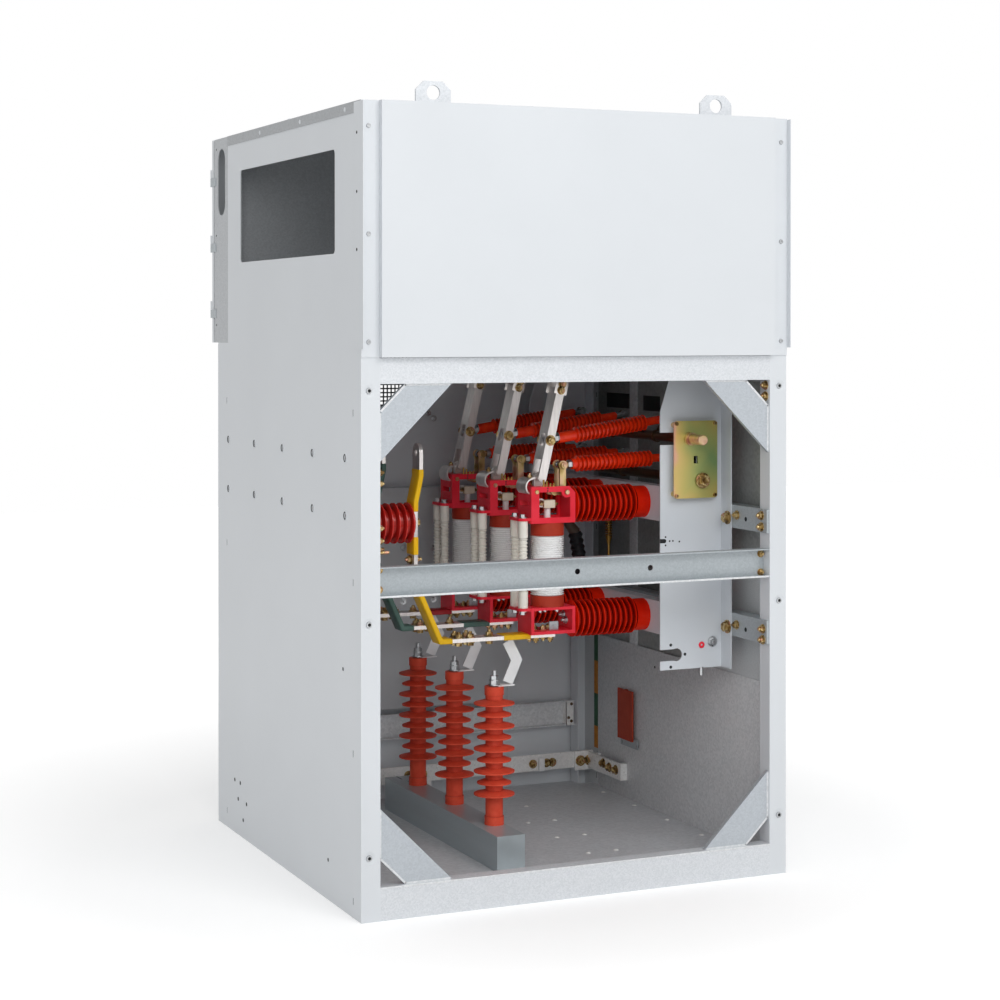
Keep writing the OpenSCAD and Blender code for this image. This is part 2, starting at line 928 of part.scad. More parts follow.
module instrument_box() {
    far = box_start + box_d;
    color("lightgray")
        difference() {
            block([-half_w, half_w], [box_start, far], [box_z, cab_h]);
            block([sheet_t - half_w, half_w - sheet_t], [box_start + sheet_t, far + cut],
                [box_z + sheet_t, cab_h - sheet_t]);
            along_width(-half_w - cut, cab_w + 2 * cut)
                translate([box_start + oval_set - oval_w / 2, oval_z])
                    round_rect(oval_w, oval_h, oval_w / 2 - fit);
        }
}

module instrument_door() {
    edge = half_w - sheet_t;
    color("lightgray") {
        difference() {
            block([-half_w, half_w], [door_start, door_front], [box_z, cab_h]);
            block([-edge, edge], [door_start - cut, door_front - sheet_t],
                [box_z + sheet_t, cab_h - sheet_t]);
        }
        for (i = [0:2])
            translate([0, 0, hinge_z + i * hinge_pitch + hinge_h / 2])
                difference() {
                    union() {
                        block([hinge_x, hinge_x + leaf_w], [door_front, door_front + leaf_t],
                            [fit, hinge_h / 2]);
                        translate([hinge_x, service_y + hinge_d, fit])
                            cylinder(r = hinge_r, h = hinge_h / 2 - fit);
                    }
                    translate([hinge_x, service_y + hinge_d, 0])
                        cylinder(d = hinge_pin + fit, h = hinge_h);
                }
    }
}

module box_hinges() {
    back = box_start + box_d - leaf_seat;
    color("silver")
        for (i = [0:2])
            translate([0, 0, hinge_z + i * hinge_pitch]) {
                block([-half_w - leaf_t, -half_w], [back, hinge_d], [0, hinge_h / 2]);
                translate([hinge_x, service_y + hinge_d, 0])
                    cylinder(r = hinge_r, h = hinge_h / 2);
                translate([hinge_x, service_y + hinge_d, 0])
                    cylinder(d = hinge_pin, h = hinge_h);
            }
}

module front_panel() {
    edge = half_w - panel_gap;
    top = box_z - panel_gap;
    far = cab_d + panel_t;
    color("lightgray")
        difference() {
            block([-edge, edge], [cab_d, far], [panel_z, top]);
            block([sheet_t - edge, edge - sheet_t], [cab_d - cut, far - sheet_t],
                [panel_z + sheet_t, top - sheet_t]);
            block([mesh_x - mesh_w, mesh_x], [cab_d, far + cut], [mesh_z, mesh_z + mesh_h]);
        }
}

module mesh_screen() {
    far = cab_d + panel_t - sheet_t;
    color("dimgray")
        block([mesh_x - mesh_w - gusset_lip, mesh_x + gusset_lip], [far - mesh_t, far],
            [mesh_z - gusset_lip, mesh_z + mesh_h + gusset_lip]);
}

module front_cross_channel() {
    far = cab_d - sheet_t;
    color("silver") {
        block([-inner_w, inner_w], [far - sheet_t, far], [channel_z, channel_z + channel_h]);
        for (z = [channel_z, channel_z + channel_h - sheet_t])
            block([-inner_w, inner_w], [far - channel_lip, far], [z, z + sheet_t]);
    }
}

module mechanism_plate() {
    far = cab_d - sheet_t;
    right = plate_x - mech_gap;
    color("gainsboro") {
        block([-inner_w, right], [far - mech_gap, far - mech_gap + sheet_t], [mech_z, mech_top]);
        for (z = [mech_z, mech_top - sheet_t])
            block([-inner_w, right], [far - mech_gap, far], [z, z + sheet_t]);
    }
}

module busbar_partition() {
    inside = half_w - sheet_t;
    color("lightgray")
        block([-inside, inside], [post_w, box_start], [partition_z, partition_z + sheet_t]);
}

module fixed_contacts() {
    low = partition_z - bushing_h;
    color("firebrick")
        phases() {
            translate([contact_x, 0, low])
                cylinder(d = bushing_d, h = bushing_h);
            translate([contact_x - contact_w / 2, -contact_t / 2, low - contact_h])
                cube([contact_w, contact_t, contact_h + cut]);
        }
}

// Outline of a switch side plate in width and height
module plate_outline() {
    polygon([[plate_x, plate_z], [plate_right, plate_z], [plate_right, plate_top],
        [plate_x + slant_x, plate_top], [plate_x, slant_z]]);
}

// Open slot from the left plate edge to a round end
module plate_slot(x, z, r, w) {
    translate([x, z])
        circle(r);
    translate([plate_x - cut, z - w / 2])
        square([x - plate_x + cut, w]);
}

module switch_side_plates() {
    notch_r = shaft_d / 2 + sheet_t;
    color("whitesmoke") {
        along_depth(plate_d, plate_t)
            difference() {
                plate_outline();
                plate_slot(shaft_x, iso_z, notch_r, 2 * notch_r);
                plate_slot(plate_x + key_notch_x, plate_z + key_notch_z, key_notch_r,
                    2 * key_notch_r - plate_t);
                translate([drive_shaft_x, drive_z])
                    circle(d = shaft_d + fit);
            }
        block([plate_right - plate_t, plate_right], [plate_d - plate_flange, plate_d + plate_t],
            [plate_z, plate_top]);
        along_depth(far_plate_d, plate_t)
            difference() {
                plate_outline();
                translate([shaft_x, iso_z])
                    circle(d = shaft_d + fit);
                translate([drive_shaft_x, drive_z])
                    circle(d = shaft_d + fit);
            }
        block([plate_right - plate_t, plate_right], [far_plate_d - plate_flange,
            far_plate_d + plate_t], [plate_z, plate_top]);
    }
}

// Channel between the side plates, open to the wall
module beam(z, h) {
    near = plate_d + plate_t;
    block([beam_x, beam_x + plate_t], [near, far_plate_d], [z, z + h]);
    for (e = [z, z + h - plate_t])
        block([beam_x, beam_x + beam_flange], [near, far_plate_d], [e, e + plate_t]);
}

module switch_beams() {
    color("gainsboro") {
        beam(beam_upper_z, beam_upper_h);
        beam(beam_lower_z, beam_lower_h);
    }
}

// Rail along the right wall, screwed to the returns of the posts
module wall_rail(z, h) {
    near = post_w + sheet_t;
    far = cab_d - post_w - sheet_t;
    web = inner_w - plate_t;
    block([plate_right, inner_w], [sheet_t, cab_d - sheet_t], [z, z + h]);
    for (e = [z, z + h - plate_t])
        block([web, inner_w + wall_rail_lip], [near, far], [e, e + plate_t]);
}

module wall_mounting_rails() {
    color("silver") {
        wall_rail(wall_rail_upper_z, wall_rail_upper_h);
        wall_rail(wall_rail_lower_z, wall_rail_lower_h);
    }
}

module bearing_plate() {
    left = plate_x + bearing_set;
    face = plate_d - bearing_gap - plate_t;
    color("darkkhaki")
        difference() {
            union() {
                along_depth(face, plate_t)
                    translate([left, bearing_z])
                        round_rect(bearing_w, bearing_h, bearing_r);
                for (x = [left + spacer_set, left + bearing_w - spacer_set])
                    for (z = [bearing_z + spacer_set, bearing_z + bearing_h - spacer_set])
                        depth_bar(x, z, face, plate_d, spacer_d);
            }
            depth_bar(shaft_x, iso_z, face - cut, plate_d + cut, shaft_d + fit);
            depth_bar(drive_shaft_x, drive_z, face - cut, plate_d + cut, shaft_d + fit);
            translate([(shaft_x + drive_shaft_x) / 2, service_y + face, (iso_z + drive_z) / 2])
                cube([bearing_slot_w, 2 * plate_t + cut, bearing_slot_h], center = true);
        }
}

// Ribbed insulator running in width from the pole frames to the beams
module pole_insulator(z) {
    root = beam_x - insulator_cap;
    translate([0, 0, z])
        rotate([0, 90, 0])
            rotate_extrude()
                polygon(concat([[0, frame_right]],
                    ribs(insulator_sheds, frame_right, root, insulator_core / 2,
                        insulator_d / 2),
                    [[insulator_cap_d / 2, root], [insulator_cap_d / 2, beam_x], [0, beam_x]]));
}

module pole_insulators() {
    color("firebrick")
        phases() {
            pole_insulator(upper_axis_z);
            pole_insulator(lower_axis_z);
        }
}

// Cheek of an upper pole frame with its window, a cut upper corner and a crank pin hole
module cheek() {
    difference() {
        polygon([[frame_x, upper_frame_z], [frame_right, upper_frame_z],
            [frame_right, frame_top - frame_cut], [frame_right - frame_cut, frame_top],
            [frame_x, frame_top]]);
        difference() {
            translate([frame_x + frame_left_bar, upper_frame_z + frame_bar])
                square([frame_l - frame_left_bar - frame_bar, upper_frame_h - 2 * frame_bar]);
            translate([bell_x, bell_z])
                circle(pin_boss);
        }
        translate([bell_x, bell_z])
            circle(d = pin_d + fit);
    }
}

// Flange left of a frame, rounded about the insulating posts
module post_flange(out) {
    corner = out - stay_set;
    half = stay_gap + corner;
    linear_extrude(frame_flange_t) {
        translate([frame_x - stay_set, -half])
            square([stay_set + frame_t, 2 * half]);
        translate([frame_x - out, -stay_gap])
            square([out, 2 * stay_gap]);
        for (y = [-stay_gap, stay_gap])
            translate([frame_x - stay_set, y])
                circle(corner);
    }
}

// Left web of an upper frame, with its slot
module frame_web() {
    difference() {
        translate([frame_x, -frame_d / 2, upper_frame_z])
            cube([frame_t, frame_d, upper_frame_h]);
        translate([frame_x - fit, -web_slot_w / 2, upper_frame_z + web_slot_rise])
            cube([frame_t + 2 * fit, web_slot_w, web_slot_h]);
    }
}

module upper_pole_frames() {
    side = frame_d / 2;
    color("crimson")
        phases() {
            translate([frame_x, -side, upper_frame_z])
                cube([frame_l, frame_d, frame_flange_t]);
            translate([0, 0, flange_z])
                post_flange(upper_flange_out);
            for (y = [-side, side - frame_t])
                on_phase(y, frame_t)
                    cheek();
            frame_web();
            translate([frame_right - frame_t, -side, upper_frame_z])
                cube([frame_t, frame_d, upper_frame_h - frame_cut]);
            translate([frame_x, -side, frame_top - frame_t])
                cube([blade_px + tongue_r, frame_d, frame_t]);
        }
}

// Open box under each interrupter
module lower_pole_frames() {
    side = frame_d / 2;
    color("crimson")
        phases() {
            translate([0, 0, lower_frame_top - frame_flange_t])
                post_flange(lower_flange_out);
            translate([frame_x, -side, lower_frame_top - frame_flange_t])
                cube([frame_l, frame_d, frame_flange_t]);
            for (x = [frame_x, frame_right - frame_t])
                translate([x, -side, lower_frame_z])
                    cube([frame_t, frame_d, lower_frame_h]);
            translate([frame_x, -side, lower_frame_z])
                cube([frame_l, frame_d, frame_t]);
        }
}

module interrupters() {
    color("white")
        phases()
            translate([pole_x, 0, 0]) {
                rotate_extrude()
                    polygon(concat([[0, ceramic_z]],
                        ribs(interrupter_ribs, ceramic_z, cap_upper_z,
                            interrupter_d / 2 - interrupter_rib, interrupter_d / 2),
                        [[interrupter_d / 2 - interrupter_rib, cap_upper_z],
                            [0, cap_upper_z]]));
                translate([0, 0, upper_frame_z + frame_flange_t])
                    cylinder(d = stem_d, h = stem_h);
                translate([-block_w / 2, -block_w / 2, upper_frame_z + frame_flange_t + stem_h])
                    cube([block_w, block_w, block_h]);
            }
}

module interrupter_caps() {
    color("firebrick")
        phases()
            translate([pole_x, 0, 0]) {
                translate([0, 0, lower_frame_top])
                    cylinder(d = interrupter_d, h = cap_lower_h);
                translate([0, 0, cap_upper_z])
                    cylinder(d = interrupter_d, h = cap_upper_h);
            }
}

module insulating_posts() {
    rise = stay_h - stay_end;
    color("linen")
        phases()
            for (y = [-stay_gap, stay_gap])
                translate([frame_x - stay_set, y, lower_frame_top])
                    rotate_extrude()
                        polygon(concat([[0, 0], [stay_d / 2, 0], [stay_d / 2, stay_end]],
                            ribs(stay_fins, stay_end, rise, stay_d / 2 - stay_fin, stay_d / 2),
                            [[stay_d / 2 - stay_fin, rise], [stay_d / 2, rise],
                                [stay_d / 2, stay_h], [0, stay_h]]));
}

module blade_hinges() {
    tail_half = blade_gap / 2 - run_gap;
    color("silver")
        phases() {
            on_phase(-tongue_t / 2, tongue_t)
                difference() {
                    union() {
                        translate([blade_x - tongue_r, frame_top])
                            square([2 * tongue_r, blade_pz]);
                        translate([blade_x, blade_z])
                            circle(tongue_r);
                    }
                    translate([blade_x, blade_z])
                        circle(d = pin_d + fit);
                }
            on_phase(-strap_w / 2, strap_w)
                intersection() {
                    difference() {
                        translate([strap_x, frame_top])
                            circle(strap_r);
                        translate([strap_x, frame_top])
                            circle(strap_r - strap_t);
                    }
                    union() {
                        translate([frame_x - strap_r, frame_top - strap_r])
                            square([strap_r, 2 * strap_r]);
                        translate([frame_x - strap_r, frame_top])
                            square([strap_r + strap_in, strap_r]);
                    }
                }
            translate([strap_x - fit, -tail_half, frame_top + strap_r - strap_t])
                cube([blade_x - tongue_r + strap_t - strap_x + fit, 2 * tail_half, strap_t]);
        }
}

module isolating_blades() {
    span = blade_gap + 2 * blade_t;
    color("silver")
        phases()
            translate([blade_x, 0, blade_z])
                rotate([0, blade_lean, 0]) {
                    for (y = [-span / 2, span / 2 - blade_t])
                        on_phase(y, blade_t) {
                            circle(d = blade_w);
                            translate([-blade_w / 2, 0])
                                square([blade_w, blade_l]);
                        }
                    for (z = [0, blade_pin_l])
                        on_phase(-span / 2, span)
                            translate([0, z])
                                circle(d = pin_d);
                    blade_web(span);
                }
}

// Web between the two bars of a blade, with a slot behind the rod eye
module blade_web(span) {
    slot_half = eye_r + run_gap;
    translate([-blade_w / 2, 0, 0])
        rotate([90, 0, 90])
            linear_extrude(blade_web_t)
                difference() {
                    translate([-span / 2, blade_web_low])
                        square([span, blade_l - blade_web_drop - blade_web_low]);
                    translate([-eye_t / 2 - run_gap, blade_pin_l - slot_half])
                        square([eye_t + 2 * run_gap, 2 * slot_half]);
                }
}

// Ribbed rod with an eye at each end, its left eye at the origin
module ribbed_rod(l, collar, tail) {
    core = rod_core / 2;
    stem = rod_end_d / 2;
    start = rod_left + collar;
    end = l - rod_right - tail;
    on_phase(-eye_t / 2, eye_t)
        difference() {
            circle(eye_r);
            circle(d = pin_d + fit);
        }
    on_phase(-eye_t / 2, eye_t)
        translate([l, 0])
            circle(eye_r);
    rotate([0, 90, 0])
        rotate_extrude()
            polygon(concat([[0, eye_r - fit], [stem, eye_r - fit], [stem, rod_left],
                [core, rod_left]],
                ribs(rod_ribs, start, end, core, rod_d / 2),
                [[core, end], [rod_tail_d / 2, end], [rod_tail_d / 2, l - rod_right],
                    [stem, l - rod_right], [stem, l], [0, l]]));
}

module blade_pull_rods() {
    color("red")
        phases()
            translate([pin_x, 0, pin_z])
                rotate([0, -atan2(tip_z - pin_z, tip_x - pin_x), 0])
                    ribbed_rod(norm([tip_x - pin_x, tip_z - pin_z]), pull_collar, pull_tail);
}

module isolator_shaft() {
    near = plate_d - bearing_gap - plate_t - shaft_out;
    color("goldenrod") {
        depth_bar(shaft_x, iso_z, near, far_plate_d + bearing_gap, shaft_d);
        phases()
            on_phase(crank_off, crank_t)
                link([shaft_x, iso_z], [tip_x, tip_z], hub_r, eye_r, web_w);
    }
}

module bell_cranks() {
    inner = crank_off;
    span = frame_d + 2 * sheet_t;
    color("goldenrod")
        phases() {
            for (y = [-inner - crank_t, inner])
                on_phase(y, crank_t) {
                    link([bell_x, bell_z], [bell_end_x, bell_end_z], eye_r, eye_r, web_w);
                    link([bell_x, bell_z], [bell_x - bell_arm, bell_z], eye_r, web_w / 2 + fit,
                        web_w);
                }
            on_phase(-span / 2, span)
                translate([bell_x, bell_z])
                    circle(d = pin_d);
            on_phase(-inner - crank_t, 2 * inner + 2 * crank_t)
                translate([bell_end_x, bell_end_z])
                    circle(d = pin_d);
        }
}

module drive_rods() {
    color("red")
        phases()
            translate([bell_end_x, 0, bell_end_z])
                rotate([0, -atan2(drive_tip_pz - bell_end_z, drive_tip_px - bell_end_x), 0])
                    ribbed_rod(norm([drive_tip_px - bell_end_x, drive_tip_pz - bell_end_z]),
                        drive_collar, drive_tail);
}

module drive_shaft() {
    near = plate_d - bearing_gap - 2 * plate_t;
    color("goldenrod") {
        depth_bar(drive_shaft_x, drive_z, near, far_plate_d + bearing_gap, shaft_d);
        phases()
            on_phase(crank_off, crank_t)
                link([drive_shaft_x, drive_z], [drive_tip_px, drive_tip_pz], hub_r, eye_r, web_w);
    }
}

module busbars() {
    top_x = bar_x + bar_jog;
    eye_z = bar_top - bar_w / 2;
    color("gold")
        phases()
            difference() {
                union() {
                    on_phase(-bar_w / 2, bar_w)
                        strip([[bar_right, bar_z], [bar_bend, bar_z], [bar_x, bar_rise_z],
                            [bar_x, bar_jog_z], [top_x, bar_jog_z + bar_jog_h], [top_x, eye_z]],
                            bar_t);
                    translate([top_x - bar_t / 2, 0, eye_z])
                        rotate([0, 90, 0])
                            cylinder(d = bar_w, h = bar_t);
                }
                translate([top_x - bar_t, 0, eye_z])
                    rotate([0, 90, 0])
                        cylinder(d = bar_hole_d, h = 2 * bar_t);
            }
}

module support_insulators() {
    root = sheet_t - half_w;
    face = bar_x - bar_t / 2;
    color("firebrick")
        phases()
            translate([0, 0, support_z])
                rotate([0, 90, 0])
                    rotate_extrude()
                        polygon(concat([[0, root]],
                            ribs(support_sheds, root, face, support_core / 2, support_d / 2),
                            [[support_core / 2, face], [0, face]]));
}

module arrester_base() {
    color("silver")
        difference() {
            block([base_x - base_w / 2, base_x + base_w / 2], [base_d, base_d + base_l],
                [floor_z, base_z]);
            block([base_x - base_w / 2 + sheet_t, base_x + base_w / 2 - sheet_t],
                [base_d + sheet_t, base_d + base_l - sheet_t], [floor_z - cut, base_z - sheet_t]);
        }
}

// Half outline of the arrester sheds, large and small in turn
function arrester_sheds_outline(a, b) =
    let (p = (b - a) / arrester_sheds)
    [for (i = [0:arrester_sheds - 1])
        let (r = (i % 2 == 0 ? arrester_d : arrester_small) / 2)
        each [[arrester_core / 2, a + i * p], [arrester_core / 2, a + (i + shed_start) * p],
            [r, a + (i + shed_low) * p], [r, a + (i + shed_high) * p],
            [arrester_core / 2, a + (i + shed_end) * p]]];
shed_start = 0.4;
shed_low = 0.42;
shed_high = 0.54;
shed_end = 0.82;

module surge_arresters() {
    low = base_z + arrester_foot;
    high = arrester_top - arrester_head;
    core = arrester_core / 2;
    cuff = arrester_cuff_d / 2;
    color("tomato")
        phases()
            translate([arrester_x, 0, 0]) {
                rotate_extrude()
                    polygon(concat([[0, base_z], [cuff, base_z], [cuff, base_z + arrester_cuff_h],
                        [core, base_z + arrester_cuff_h]],
                        arrester_sheds_outline(low, high),
                        [[core, arrester_top - arrester_cuff_h],
                            [cuff, arrester_top - arrester_cuff_h], [cuff, arrester_top],
                            [0, arrester_top]]));
                translate([0, 0, arrester_top])
                    cylinder(d = stud_d, h = stud_h);
            }
}

module arrester_straps() {
    top = bar_z - bar_t / 2;
    bend = arrester_x + tail_reach;
    inner = arrester_x + (tail_reach + stud_d) / 2;
    color("whitesmoke")
        phases() {
            on_phase(-tail_t / 2, tail_t)
                strip([[inner, arrester_top + 2.75 * tail_t], [bend, arrester_top + tail_reach],
                    [inner, top - 3 * tail_t]], tail_w);
            translate([arrester_x + stud_d / 2, -tail_w / 2, arrester_top])
                cube([(tail_reach + tail_w) / 2, tail_w, tail_t]);
            translate([inner - tail_w / 2, -tail_w / 2, top - tail_t])
                cube([tail_w, tail_w, tail_t]);
        }
}

module earth_bar() {
    far = cab_d - post_w - sheet_t;
    wall = half_w - sheet_t;
    color("silver") {
        block([inner_w - earth_l, inner_w], [far - earth_t, far], [earth_z, earth_z + earth_h]);
        for (x = [inner_w - earth_l, 0])
            block([x, x + earth_h], [far - earth_t, far], [floor_z, earth_z]);
        block([wall - earth_gap - earth_t, wall - earth_gap],
            [far - earth_gap - earth_side_l, far - earth_gap], [earth_z, earth_z + earth_h]);
        for (d = [far - earth_gap - earth_side_l, far - earth_gap - earth_h])
            block([wall - earth_gap - earth_t, wall], [d, d + earth_gap],
                [earth_z, earth_z + earth_h]);
    }
}

module earth_strap() {
    wall = half_w - sheet_t;
    near = cab_d - 2 * post_w;
    color("yellowgreen")
        block([wall - tail_t, wall], [near, near + earth_strap_w],
            [earth_z + earth_h + stud_d, earth_z + earth_h + earth_strap_h]);
}

module heater_plate() {
    wall = half_w - sheet_t;
    face = wall - 2 * heater_t;
    color("brown") {
        block([face - heater_t, face], [heater_d, heater_d + heater_w],
            [heater_z, heater_z + heater_h]);
        for (z = [heater_z, heater_z + heater_h - stud_d])
            block([face - heater_t, wall], [heater_d + heater_w / 2, heater_d + heater_w / 2
                + stud_d], [z, z + stud_d]);
    }
}

side_panel_left();
side_panel_right();
floor_plate();
roof_panel();
service_posts();
front_posts();
bottom_rail();
middle_rail();
upper_rail();
corner_gussets();
upper_cover();
cover_side_strips();
lifting_lugs();
instrument_box();
instrument_door();
box_hinges();
front_panel();
mesh_screen();
front_cross_channel();
mechanism_plate();
busbar_partition();
fixed_contacts();
switch_side_plates();
switch_beams();
wall_mounting_rails();
bearing_plate();
pole_insulators();
upper_pole_frames();
lower_pole_frames();
interrupters();
interrupter_caps();
insulating_posts();
blade_hinges();
isolating_blades();
blade_pull_rods();
isolator_shaft();
bell_cranks();
drive_rods();
drive_shaft();
busbars();
support_insulators();
arrester_base();
surge_arresters();
arrester_straps();
earth_bar();
earth_strap();
heater_plate();
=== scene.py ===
"""Looks of the ring main unit cubicle: finishes, fasteners, sleeves, light and camera.

Lengths are written in millimetres and turned to metres by MM. A depth is a distance
from the service face toward the operating front, as in the part's source.
"""

import math

import bmesh
import bpy
from mathutils import Matrix, Vector


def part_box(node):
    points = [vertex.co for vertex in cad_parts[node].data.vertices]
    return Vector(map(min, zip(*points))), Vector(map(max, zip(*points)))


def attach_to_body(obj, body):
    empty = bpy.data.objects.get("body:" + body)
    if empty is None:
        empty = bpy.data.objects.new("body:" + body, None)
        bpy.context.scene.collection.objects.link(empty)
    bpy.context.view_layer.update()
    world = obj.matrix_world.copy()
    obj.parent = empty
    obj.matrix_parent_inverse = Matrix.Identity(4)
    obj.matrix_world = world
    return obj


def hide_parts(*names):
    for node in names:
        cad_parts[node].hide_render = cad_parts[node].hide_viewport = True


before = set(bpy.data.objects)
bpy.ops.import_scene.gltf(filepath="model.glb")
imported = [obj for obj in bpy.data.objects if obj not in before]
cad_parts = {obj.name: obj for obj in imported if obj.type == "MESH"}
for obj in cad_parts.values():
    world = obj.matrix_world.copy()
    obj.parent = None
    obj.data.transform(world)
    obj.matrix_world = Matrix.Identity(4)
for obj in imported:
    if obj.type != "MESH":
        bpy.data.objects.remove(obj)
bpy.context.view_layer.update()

MM = 0.001
SERVICE_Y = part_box("service_posts")[0].y
# Directions, of which SERVICE points out of the service side
SERVICE = Vector((0, -1, 0))
LEFT = Vector((-1, 0, 0))
RIGHT = Vector((1, 0, 0))
UP = Vector((0, 0, 1))
DOWN = Vector((0, 0, -1))

# Places that many pieces share
HALF_WIDTH = 480
POST_INNER = 440
PHASE_DEPTHS = [308, 528, 748]


def at(x, depth, z):
    """A point from its width, depth and height in millimetres."""
    return Vector((x * MM, SERVICE_Y + depth * MM, z * MM))


# Camera and stage

CAMERA_X = -1931.65
CAMERA_DEPTH = -3911.94
CAMERA_Z = 1157.39
CAMERA_YAW = 24.063
CAMERA_PITCH = -0.397
CAMERA_LENS = 77.33
CAMERA_SHIFT_Y = -0.1572


def make_camera():
    camera = bpy.data.objects.new("camera", bpy.data.cameras.new("camera"))
    bpy.context.scene.collection.objects.link(camera)
    camera.location = at(CAMERA_X, CAMERA_DEPTH, CAMERA_Z)
    camera.rotation_euler = (math.radians(90 + CAMERA_PITCH), 0, math.radians(-CAMERA_YAW))
    camera.data.lens = CAMERA_LENS
    camera.data.shift_y = CAMERA_SHIFT_Y
    bpy.context.scene.camera = camera


def linear(hex_colour):
    """An sRGB hex colour as linear red, green, blue and alpha."""
    parts = [int(hex_colour[i:i + 2], 16) / 255 for i in (1, 3, 5)]
    return [p / 12.92 if p <= 0.04045 else ((p + 0.055) / 1.055) ** 2.4 for p in parts] + [1]


def add(tree, kind, inputs=None, stops=(), **settings):
    """Adds a node with its settings, links or values for its inputs, and any colour stops."""
    node = tree.nodes.new(kind)
    for name, value in settings.items():
        setattr(node, name, value)
    for name, value in (inputs or {}).items():
        if isinstance(value, bpy.types.NodeSocket):
            tree.links.new(value, node.inputs[name])
        else:
            node.inputs[name].default_value = value
    if stops:
        elements = node.color_ramp.elements
        while len(elements) < len(stops):
            elements.new(0.5)
        for element, (position, colour) in zip(elements, stops):
            element.position = position
            element.color = linear(colour)
    return node


AREA_LIGHTS = {
    "key_light": {"place": (900, -3800, 3600), "aim": (0, 100, 700), "size": 2200, "watts": 60},
    "fill_light": {"place": (-1700, -4300, 2600), "aim": (0, 300, 500), "size": 2400, "watts": 52},
    "top_light": {"place": (0, 300, 4200), "aim": (0, 300, 0), "size": 3600, "watts": 30},
}
AMBIENT = 0.52


def make_lights():
    for name, spec in AREA_LIGHTS.items():
        data = bpy.data.lights.new(name, "AREA")
        data.size = spec["size"] * MM
        data.energy = spec["watts"]
        lamp = bpy.data.objects.new(name, data)
        bpy.context.scene.collection.objects.link(lamp)
        lamp.location = at(*spec["place"])
        lamp.rotation_euler = (at(*spec["aim"]) - lamp.location).to_track_quat("-Z", "Y").to_euler()


def seen(tree):
    """1 where the camera, a reflection or glass shows a surface, and 0 where it only lights."""
    path = add(tree, "ShaderNodeLightPath")
    shown = path.outputs["Is Camera Ray"]
    for ray in ("Is Glossy Ray", "Is Transmission Ray"):
        shown = add(tree, "ShaderNodeMath", {0: shown, 1: path.outputs[ray]},
                    operation="MAXIMUM").outputs[0]
    return shown


def make_surround():
    bpy.context.scene.view_settings.view_transform = "Standard"
    world = bpy.data.worlds.new("white_surround")
    bpy.context.scene.world = world
    world.use_nodes = True
    tree = world.node_tree
    strength = add(tree, "ShaderNodeMapRange", {"Value": seen(tree), "To Min": AMBIENT, "To Max": 1.0})
    tree.links.new(strength.outputs[0], tree.nodes["Background"].inputs["Strength"])
    tree.nodes["Background"].inputs["Color"].default_value = linear("#ffffff")


FLOOR_HALF = 9000
GLOW_REACH = (900, 2600)
GLOW = (0.24, 0.62)


def make_floor():
    """White paper: it glows more where it lies further off, so only the shadow at the foot shows."""
    bm = bmesh.new()
    bmesh.ops.create_grid(bm, x_segments=1, y_segments=1, size=FLOOR_HALF * MM)
    mesh = bpy.data.meshes.new("studio_floor")
    bm.to_mesh(mesh)
    bm.free()
    floor = bpy.data.objects.new("studio_floor", mesh)
    bpy.context.scene.collection.objects.link(floor)
    paper = bpy.data.materials.new("white_paper")
    paper.use_nodes = True
    tree = paper.node_tree
    shader = tree.nodes["Principled BSDF"]
    shader.inputs["Base Color"].default_value = linear("#f4f4f4")
    shader.inputs["Roughness"].default_value = 0.9
    place = add(tree, "ShaderNodeTexCoord").outputs["Object"]
    away = add(tree, "ShaderNodeVectorMath", {0: place}, operation="LENGTH").outputs["Value"]
    paper_glow = add(tree, "ShaderNodeMapRange", {
        "Value": away, "From Min": GLOW_REACH[0] * MM, "From Max": GLOW_REACH[1] * MM,
        "To Min": GLOW[0], "To Max": GLOW[1]}).outputs[0]
    glow = add(tree, "ShaderNodeMath", {0: seen(tree), 1: paper_glow}, operation="MULTIPLY")
    shader.inputs["Emission Color"].default_value = linear("#ffffff")
    tree.links.new(glow.outputs[0], shader.inputs["Emission Strength"])
    mesh.materials.append(paper)


# Finishes

def finish(name, colour, roughness, metallic=0.0, gloss=0.5):
    """A material with its shader and Object coordinates."""
    material = bpy.data.materials.new(name)
    material.use_nodes = True
    tree = material.node_tree
    shader = tree.nodes["Principled BSDF"]
    shader.inputs["Base Color"].default_value = linear(colour)
    shader.inputs["Roughness"].default_value = roughness
    shader.inputs["Metallic"].default_value = metallic
    shader.inputs["Specular IOR Level"].default_value = gloss
    place = add(tree, "ShaderNodeTexCoord").outputs["Object"]
    return material, tree, shader, place


def per_metre(size_mm):
    """Texture scale for a pattern whose features are this many millimetres apart."""
    return 1 / (size_mm * MM)


LOW_STOP, HIGH_STOP = 0.3, 0.7


def drifting(tree, place, size_mm, detail, low, high):
    """A colour that drifts from one tone to the other in patches of this size."""
    patches = add(tree, "ShaderNodeTexNoise", {
        "Vector": place, "Scale": per_metre(size_mm), "Detail": detail})
    return add(tree, "ShaderNodeValToRGB", {"Fac": patches.outputs["Fac"]},
               stops=[(LOW_STOP, low), (HIGH_STOP, high)]).outputs["Color"]


SKIN_DEPTH = 0.3


def rough_skin(tree, shader, place, size_mm, strength):
    """Fine bumps of this size, such as orange peel or the grain of a mould."""
    grain = add(tree, "ShaderNodeTexNoise", {"Vector": place, "Scale": per_metre(size_mm), "Detail": 2})
    raised = add(tree, "ShaderNodeBump", {
        "Height": grain.outputs["Fac"], "Strength": strength, "Distance": SKIN_DEPTH * MM})
    tree.links.new(raised.outputs["Normal"], shader.inputs["Normal"])


# Painted shade in grooves and corners: how far the occlusion looks, and the occlusion that gives the
# darkest and no shade
GROOVE_REACH = 12
GROOVE_SHUT, GROOVE_OPEN = 0.3, 0.85


